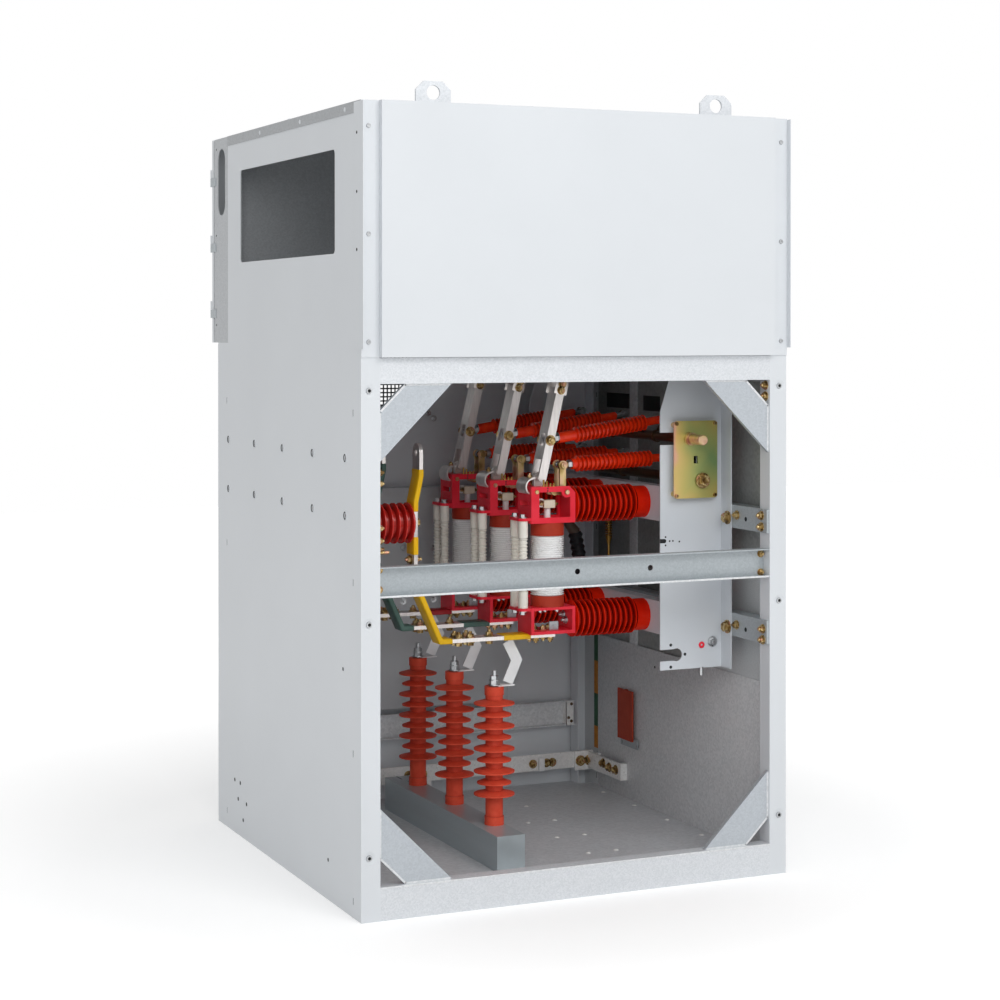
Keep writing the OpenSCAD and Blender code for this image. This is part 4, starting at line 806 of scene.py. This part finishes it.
def gusset_rim_highlights():
    """Painted highlight: bright strips on the folded edges of the four corner gussets, at the post, at
    the rail and across.
    """
    bm = bmesh.new()
    near = GUSSET_FACE - RIM_PROUD
    across = GUSSET_OUTER / 2 + RIM_WIDE / math.sqrt(8)
    reach = GUSSET_INNER - RIM_WIDE
    size = Vector((GUSSET_OUTER * math.sqrt(2), RIM_PROUD, RIM_WIDE)) * MM
    ends = [(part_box("upper_rail")[0].z / MM, -1), (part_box("bottom_rail")[1].z / MM, 1)]
    for side in (-1, 1):
        post = side * POST_INNER
        for corner, rise in ends:
            turn = Matrix.Rotation(math.radians(-45 * side * rise), 3, "Y")
            centre = at(post - side * across, GUSSET_FACE - RIM_PROUD / 2, corner + rise * across)
            block(bm, centre, size, turn)
            box(bm, (post, near, corner + rise * GUSSET_OUTER),
                (post - side * RIM_WIDE, GUSSET_FACE, corner + rise * reach))
            box(bm, (post - side * GUSSET_OUTER, near, corner),
                (post - side * reach, GUSSET_FACE, corner + rise * RIM_WIDE))
    attach("gusset_rim_highlights", bm, "bright_zinc")


RAIL_LIP = 4


def rail_edge_highlights():
    """Painted highlight: a bright rolled edge along the foot of the middle rail and the top of the
    bottom rail, lighter than the rails for the light it catches.
    """
    bm = bmesh.new()
    ends = {"middle_rail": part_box("middle_rail")[0].z / MM,
            "bottom_rail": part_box("bottom_rail")[1].z / MM - RAIL_LIP}
    for name, foot in ends.items():
        near = (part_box(name)[0].y - SERVICE_Y) / MM
        box(bm, (-POST_INNER, near - 0.8, foot), (POST_INNER, near + 0.4, foot + RAIL_LIP))
    soften(bm, 0.3)
    attach("rail_edge_highlights", bm, "bright_zinc")


MESH_LEFT, MESH_RIGHT = -342, -2
MESH_LOW, MESH_HIGH = 960, 1090
MESH_DEPTH = 971.5
MESH_PITCH = 10
WIRE_RADIUS = 1.8


def woven_mesh():
    """Open wire cloth, in place of the plain sheet."""
    wires = bmesh.new()
    for x in range(MESH_LEFT, MESH_RIGHT + 1, MESH_PITCH):
        disc(wires, at(x, MESH_DEPTH - WIRE_RADIUS, MESH_LOW), UP, WIRE_RADIUS,
             MESH_HIGH - MESH_LOW, 6)
    for z in range(MESH_LOW, MESH_HIGH + 1, MESH_PITCH):
        disc(wires, at(MESH_LEFT, MESH_DEPTH - 2 * WIRE_RADIUS, z), RIGHT, WIRE_RADIUS,
             MESH_RIGHT - MESH_LEFT, 6)
    piece = attach("woven_mesh", wires, "wire")
    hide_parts("mesh_screen")


# Far wall and right wall

MECHANISM_SEAMS = [195, 227]
SEAM_HEIGHTS = (240, 392)
SEAM = (2.4, 0.4)


def mechanism_seams():
    bm = bmesh.new()
    low, high = SEAM_HEIGHTS
    for x in MECHANISM_SEAMS:
        box(bm, (x, MECHANISM_FACE - SEAM[1], low), (x + SEAM[0], MECHANISM_FACE, high))
    attach("mechanism_plate_seams", bm, "dark")


WALL_INSIDE = 477.9
LINING_TOP = 394
SHEET_NEAR = 60
SHEET_TURN = 300
NEAR_SHEET_FOOT = 640
UPPER_TOP = 1040
STIFFENER = (667, 704)
WALL_OPENINGS = [((712, 832), (962, 998)), ((556, 640), (960, 996))]
LINING_HOLE = (579, 354)
SHEET = 1.2
FOLD = 5
TOP_FOLD = 6


def right_wall_sheets():
    """Lining of the lower right wall with its folded top and the stiffener over it, and a darker zinc
    sheet over the upper wall that paints the shade lying there.
    """
    lining, upper, darks = blanks(3)
    near = SHEET_NEAR
    far = (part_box("earth_strap")[0].y - SERVICE_Y) / MM - 1
    box(lining, (WALL_INSIDE - 2 * SHEET, near, FLOOR_TOP), (WALL_INSIDE, far, LINING_TOP - SHEET))
    box(lining, (WALL_INSIDE - TOP_FOLD, SHEET_TURN, LINING_TOP - SHEET), (WALL_INSIDE, far, LINING_TOP))
    box(lining, (WALL_INSIDE - FOLD, STIFFENER[0], LINING_TOP),
        (WALL_INSIDE - SHEET, STIFFENER[1], UPPER_TOP))
    soften(lining, 0.4)
    attach("right_wall_lining", lining, "bright_zinc")
    # Painted shade: a darker sheet over the upper right wall, where it lies in shadow
    box(upper, (WALL_INSIDE - SHEET, SHEET_TURN, LINING_TOP), (WALL_INSIDE, far, UPPER_TOP))
    box(upper, (WALL_INSIDE - SHEET, near, NEAR_SHEET_FOOT), (WALL_INSIDE, SHEET_TURN, UPPER_TOP))
    box(upper, (WALL_INSIDE - FOLD, near, UPPER_TOP), (WALL_INSIDE, far, UPPER_TOP + SHEET))
    soften(upper, 0.3)
    attach("right_wall_shade_sheet", upper, "shade_zinc")
    # Painted shade: dark marks for the openings in the upper wall and the hole in the lining
    for (d0, d1), (z0, z1) in WALL_OPENINGS:
        box(darks, (WALL_INSIDE - SHEET - MARK, d0, z0), (WALL_INSIDE - SHEET, d1, z1))
    disc(darks, at(WALL_INSIDE - 2 * SHEET, *LINING_HOLE), LEFT, 3.2, MARK, 14)
    attach("right_wall_opening_shades", darks, "dark")


CHANNEL_LIP_DEPTH = 938
CHANNEL_END = ((415, 160), (436, 221))
CHANNEL_PLATE = 1.5
CHANNEL_SCREWS = [(430, 213), (422, 179), (430, 170)]


def cross_channel_end():
    """Folded end plate of the channel inside the front, with its screws."""
    plate, screws = blanks(2)
    (x0, z0), (x1, z1) = CHANNEL_END
    near = CHANNEL_LIP_DEPTH - CHANNEL_PLATE
    box(plate, (x0, near, z0), (x1, CHANNEL_LIP_DEPTH, z1))
    box(plate, (x0, near, z0), (x0 + CHANNEL_PLATE, CHANNEL_LIP_DEPTH + 18, z1))
    attach("cross_channel_end", plate, "bright_tin")
    for x, z in CHANNEL_SCREWS:
        socket_screw(screws, at(x, near, z), SERVICE, 4, 2)
    attach("cross_channel_screws", screws, "shaft")


# Switch frame and bearing plate

PLATE_FACE = 190
RED_MARK = (382, 465)
PLATE_BOLT = (409, 471)
PLATE_PIN = (382, 415)
KEY_HOLES = [(306, 469), (341, 447), (306, 421)]
EDGE_HOLES = [(293, 704), (303, 695), (311, 695), (327, 693), (293, 686)]
EDGE_SLOT = ((279, 691), (290, 700))


def side_plate_details():
    darks, steel, red = blanks(3)
    # Painted shade: dark marks stand for the key holes, edge holes and slot of the plate
    for x, z in KEY_HOLES:
        disc(darks, at(x, PLATE_FACE, z), SERVICE, 3.4, MARK, 16)
    for x, z in EDGE_HOLES:
        disc(darks, at(x, PLATE_FACE, z), SERVICE, 2, MARK, 12)
    (x0, z0), (x1, z1) = EDGE_SLOT
    box(darks, (x0, PLATE_FACE - MARK, z0), (x1, PLATE_FACE, z1))
    disc(darks, at(x1, PLATE_FACE, (z0 + z1) / 2), SERVICE, (z1 - z0) / 2, 0.35, 20)
    attach("side_plate_hole_shade_marks", darks, "dark")
    hex_bolt(steel, at(PLATE_BOLT[0], PLATE_FACE, PLATE_BOLT[1]), SERVICE, 15, 3)
    disc(steel, at(PLATE_PIN[0], PLATE_FACE + 1.5, PLATE_PIN[1] + 2), DOWN, 5, 18)
    attach("side_plate_bolt", steel, "steel")
    ring(red, at(RED_MARK[0], PLATE_FACE - 1, RED_MARK[1]), SERVICE, 4.8, 2.5)
    attach("side_plate_red_ring", red, "crimson")


BEARING_FACE = 170
BEARING_SCREWS = [(309, 950), (404, 950), (309, 794), (404, 794)]
DRIVE_END = (372, 826)
ISOLATOR_END = (341, 917)
SHAFT_END_DEPTH = 110
SHAFT_SLEEVE = 11.3
KEY_SLOT = ((346, 856), (368, 887))


def bearing_plate_details():
    corners, nut, sleeve, end, shade = blanks(5)
    for x, z in BEARING_SCREWS:
        socket_screw(corners, at(x, BEARING_FACE, z), SERVICE, 4.6, 4)
    attach("bearing_plate_screws", corners, "gold_bolt")
    hex_bolt(nut, at(DRIVE_END[0], BEARING_FACE - 3, DRIVE_END[1]), SERVICE, 22, 5)
    attach("drive_shaft_nut", nut, "gold_bolt", "drive")
    x, z = ISOLATOR_END
    disc(sleeve, at(x, BEARING_FACE, z), SERVICE, 14, 14, 32)
    disc(sleeve, at(x, BEARING_FACE, z), SERVICE, SHAFT_SLEEVE, BEARING_FACE - SHAFT_END_DEPTH, 32)
    attach("isolator_shaft_sleeve", sleeve, "crank_zinc", "isolator")
    disc(end, at(x, SHAFT_END_DEPTH, z), SERVICE, SHAFT_SLEEVE, 1.4, 32, 9.8)
    attach("isolator_shaft_end", end, "crank_zinc", "isolator")
    # Painted shade: a dark block behind the key slot of the bearing plate
    back = (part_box("bearing_plate")[1].y - SERVICE_Y) / MM
    (x0, z0), (x1, z1) = KEY_SLOT
    box(shade, (x0, back, z0), (x1, back + 1, z1))
    soften(shade, 0.3)
    attach("bearing_plate_slot_shade", shade, "dark")


# Poles

FRAME_NEAR = -35
FRAME_PIN = (24, 804)
FRAME_HOLES = [(50, 811), (50, 806)]
FRAME_TOP = 815
CHEEK_MIDDLE = 31.5
FRAME_STUDS = [(42, 15), (49, 12), (58, 7), (66, 7)]
STUD_NUT = 2.4
WIRE_LOOP = (47, 778)


def upper_frame_details():
    """Pins, small holes, studs and the contact block's wire on the upper frames."""
    pale, darks, studs, wires = blanks(4)
    for middle in PHASE_DEPTHS:
        face = middle + FRAME_NEAR
        disc(pale, at(FRAME_PIN[0], face, FRAME_PIN[1]), SERVICE, 5, 2.6, 18, 4)
        # Painted shade: dark discs stand for the small holes in the frames
        for x, z in FRAME_HOLES:
            disc(darks, at(x, face, z), SERVICE, 1.7, MARK, 12)
        for x, height in FRAME_STUDS:
            for side in (-1, 1):
                foot = at(x, middle + side * CHEEK_MIDDLE, FRAME_TOP)
                disc(studs, foot, UP, 3.4, STUD_NUT, 6)
                disc(studs, foot + UP * (STUD_NUT * MM), UP, 2.1, height - STUD_NUT, 10)
        ring(wires, at(WIRE_LOOP[0], middle - 6, WIRE_LOOP[1]), SERVICE, 8, 1.9)
    attach("frame_pin_heads", pale, "crank_zinc")
    attach("frame_small_hole_shades", darks, "dark")
    attach("frame_top_studs", studs, "brass")
    attach("contact_block_wires", wires, "white_braid")


CLIP = ((62, -18, LOWER_PLATE_TOP), (83, -15, 521))


def lower_frame_clips():
    bm = bmesh.new()
    (x0, near, z0), (x1, far, z1) = CLIP
    for middle in PHASE_DEPTHS:
        box(bm, (x0, middle + near, z0), (x1, middle + far, z1))
        disc(bm, at((x0 + x1) / 2, middle + near, (z0 + z1) / 2), SERVICE, 3, 1, 14, 2)
    attach("lower_frame_clips", bm, "galvanised")


BLADE_PIVOT = (44, 832)
BLADE_LEAN = 13
BLADE_OUT = 21
BLADE_PIN = 84
BLADE_CLIP = (186, 226)
BLADE_CLIP_BOLTS = [195, 209]
BLADE_CLIP_HALF = 15
BLADE_CLIP_THICK = 2.4


def along_blade(length, middle, off):
    """A point on a closed blade: along it, and beside the middle of its phase."""
    lean = math.radians(BLADE_LEAN)
    x, z = BLADE_PIVOT
    return at(x + length * math.sin(lean), middle + off, z + length * math.cos(lean))


def blade_details():
    clips, gold = blanks(2)
    turn = Matrix.Rotation(math.radians(BLADE_LEAN), 3, "Y")
    low, high = BLADE_CLIP
    size = Vector((2 * BLADE_CLIP_HALF, BLADE_CLIP_THICK, high - low)) * MM
    for middle in PHASE_DEPTHS:
        for side in (-1, 1):
            outward = Vector((0, side, 0))
            face = side * BLADE_OUT
            hex_bolt(gold, along_blade(BLADE_PIN, middle, face), outward, 15, 3)
            centre = along_blade((low + high) / 2, middle, face)
            block(clips, centre, size, turn)
            for length in BLADE_CLIP_BOLTS:
                foot = along_blade(length, middle, face + side * BLADE_CLIP_THICK / 2)
                hex_bolt(gold, foot, outward, 12, 3)
    soften(clips, 0.5)
    attach("blade_clip_plates", clips, "tinned", "blades")
    attach("blade_bolts", gold, "gold_bolt", "blades")


PULL_ROD = ((62.9, 913.9), (367, 957))
DRIVE_ROD = ((96, 859), (370, 870))
ROD_THREAD = (10, 17)
ROD_THREAD_RADIUS = 7.2
ROD_NUT = (9.8, 9.5)


def rod_end_nuts():
    for name, ends, body in (("pull_rod", PULL_ROD, "blade_rods"),
                             ("drive_rod", DRIVE_ROD, "switch_rods")):
        nuts, threads = blanks(2)
        for middle in PHASE_DEPTHS:
            left, right = (at(x, middle, z) for x, z in ends)
            axis = (right - left).normalized()
            start, end = ROD_THREAD
            disc(threads, left + axis * (start * MM), axis, ROD_THREAD_RADIUS, end - start, 16)
            disc(nuts, left + axis * (end * MM), axis, *ROD_NUT, 6)
        attach(name + "_nuts", nuts, "steel", body)
        attach(name + "_threads", threads, "gold_bolt", body)


BELL_PIVOT = (96, 802)
BELL_TIP = (96, 859)
BELL_PIN_OUT = 37.5
BELL_PIN = (5.5, 1.6, 18, 4.5)  # radius, height, sides and top radius
CRANK_OUT = 15


def crank_nuts():
    bm = bmesh.new()
    for middle in PHASE_DEPTHS:
        for side in (-1, 1):
            outward = Vector((0, side, 0))
            hex_bolt(bm, at(BELL_TIP[0], middle + side * CRANK_OUT, BELL_TIP[1]), outward, 13, 2)
            disc(bm, at(BELL_PIVOT[0], middle + side * BELL_PIN_OUT, BELL_PIVOT[1]), outward, *BELL_PIN)
    attach("bell_crank_nuts", bm, "crank_zinc", "cranks")


# Stay between the beams, and the boot between the insulators of the second pole

STAY_PLACE = (327, 528)
STAY_ENDS = (559, 735)
SPRING = (676, 712)
SPRING_WIRE = (7, 1.8, 6)  # radius, thickness and turns
STAY_RADIUS = 3
STAY_CONE = 20
BOOT_FOOT = (264, 560)
BOOT_HEAD = (240, 688)
BOOT_RIBS = 9
BOOT_VALLEY, BOOT_RIDGE = 13.5, 17
ELBOW_BEND = (224, 708)
ELBOW_TOP = (224, 736)
ELBOW_RADII = (13, 11, 10)


def beam_stay():
    bm = bmesh.new()
    x, depth = STAY_PLACE
    low, high = STAY_ENDS
    disc(bm, at(x, depth, low), UP, STAY_RADIUS, high - low, 14)
    disc(bm, at(x, depth, SPRING[0] - STAY_CONE), UP, 3.5, STAY_CONE, 16, 8)
    ring(bm, at(x, depth, SPRING[0]), UP, *SPRING_WIRE, SPRING[1] - SPRING[0])
    attach("beam_stay", bm, "brass")


def rubber_boot():
    boot, elbow = blanks(2)
    depth = STAY_PLACE[1]
    foot, head, bend, top = (at(x, depth, z) for x, z in (BOOT_FOOT, BOOT_HEAD, ELBOW_BEND, ELBOW_TOP))
    axis = (head - foot).normalized()
    step = (head - foot).length / MM / BOOT_RIBS
    for i in range(BOOT_RIBS):
        start = foot + axis * (i * step * MM)
        disc(boot, start, axis, BOOT_VALLEY, step * 0.5, 24, BOOT_RIDGE)
        disc(boot, start + axis * (step * 0.5 * MM), axis, BOOT_RIDGE, step * 0.5, 24, BOOT_VALLEY)
    attach("rubber_boot", boot, "boot_rubber", sharp_deg=60)
    wide, bent, narrow = ELBOW_RADII
    disc(elbow, head, (bend - head).normalized(), wide, (bend - head).length / MM, 20, bent)
    bmesh.ops.create_uvsphere(elbow, u_segments=20, v_segments=12, radius=bent * MM,
                              matrix=Matrix.Translation(bend))
    disc(elbow, bend, UP, narrow, (top - bend).length / MM, 20)
    attach("boot_elbow", elbow, "brown_rubber", sharp_deg=60)


# Busbar sleeves

SLEEVE_THICK = 11.2
SLEEVE_WIDE = 43
SLEEVE_KEYS = ["yellow_sleeve", "green_sleeve", "red_sleeve"]
SLEEVE_RUNS = [
    [(17, 492), (-47, 492)],
    [(-166, 492), (-192, 492), (-250, 620), (-250, 640)],
    [(-250, 679), (-250, 717)],
    [(-250, 770), (-250, 790), (-238, 845), (-238, 859)],
]


def mitre(points, index):
    """Sideways step, per unit of half thickness, at one point of a bent run."""
    def normal(a, b):
        way = (Vector(b) - Vector(a)).normalized()
        return Vector((-way.y, way.x))
    before = normal(points[max(index - 1, 0)], points[max(index, 1)])
    last = len(points) - 1
    after = normal(points[min(index, last - 1)], points[min(index + 1, last)])
    return (before + after) / (1 + before.dot(after))


def sleeve_run(bm, points, middle):
    """A flat sleeve: the outline of one edge, pushed across the width of the bar."""
    near = middle - SLEEVE_WIDE / 2
    steps = [mitre(points, index) * (SLEEVE_THICK / 2) for index in range(len(points))]
    outline = [at(x + s.x, near, z + s.y) for (x, z), s in zip(points, steps)]
    outline += [at(x - s.x, near, z - s.y) for (x, z), s in reversed(list(zip(points, steps)))]
    edge = bm.faces.new([bm.verts.new(point) for point in outline])
    pushed = bmesh.ops.extrude_face_region(bm, geom=[edge], use_keep_orig=True)
    verts = [item for item in pushed["geom"] if isinstance(item, bmesh.types.BMVert)]
    bmesh.ops.translate(bm, verts=verts, vec=(0, SLEEVE_WIDE * MM, 0))


def busbar_sleeves():
    for middle, key in zip(PHASE_DEPTHS, SLEEVE_KEYS):
        bm = bmesh.new()
        for points in SLEEVE_RUNS:
            sleeve_run(bm, points, middle)
        bmesh.ops.recalc_face_normals(bm, faces=bm.faces)
        soften(bm, 2)
        attach(key + "s", bm, key, sharp_deg=50)


# Arresters, earth bar and heater

ARRESTER_X = -61
ARRESTER_TOP = 387
# Lift, radius, height and number of sides of each washer and nut on the stud
ARRESTER_STACK = [(2, 13, 2, 24), (4, 10.4, 9, 6), (13, 11, 1.6, 24), (14.6, 9.6, 8, 6)]


def arrester_nuts():
    bm = bmesh.new()
    for middle in PHASE_DEPTHS:
        for lift, radius, height, sides in ARRESTER_STACK:
            disc(bm, at(ARRESTER_X, middle, ARRESTER_TOP + lift), UP, radius, height, sides)
    attach("arrester_stud_nuts", bm, "steel")


JOINT_PLATE = ((424, EARTH_JOINT_FACE, 52), (474, EARTH_FACE, 100))
TERMINAL = ((326, 904, 58), (341, EARTH_FACE, 90))


def earth_bar_details():
    for name, corners, key in (("earth_joint_plate", JOINT_PLATE, "bright_tin"),
                               ("earth_terminal", TERMINAL, "white_braid")):
        bm = bmesh.new()
        box(bm, *corners)
        soften(bm, 1.2)
        attach(name, bm, key)


HEATER_STRIP = ((470, 656, 143), (471.6, 745, 166))
HEATER_SCREWS = [(663, 150), (736, 150)]
HEATER_SPACER = 8


def heater_bracket():
    """Zinc strip under the heater mat, held off the wall by spacers."""
    sheet, screws = blanks(2)
    box(sheet, *HEATER_STRIP)
    soften(sheet, 0.6)
    attach("heater_strip", sheet, "galvanised")
    for depth, z in HEATER_SCREWS:
        disc(screws, at(HEATER_STRIP[0][0] - 1.6, depth, z), RIGHT, 3.6, HEATER_SPACER, 14)
    attach("heater_screws", screws, "steel")


make_camera()
make_lights()
make_surround()
make_floor()
dress_nodes()
bolt_sets()
cabinet_screws()
wall_rail_holes()
wall_marks()
upper_marks()
floor_rivets()
gusset_rim_highlights()
rail_edge_highlights()
woven_mesh()
mechanism_seams()
right_wall_sheets()
cross_channel_end()
side_plate_details()
bearing_plate_details()
upper_frame_details()
lower_frame_clips()
blade_details()
rod_end_nuts()
crank_nuts()
beam_stay()
rubber_boot()
busbar_sleeves()
arrester_nuts()
earth_bar_details()
heater_bracket()
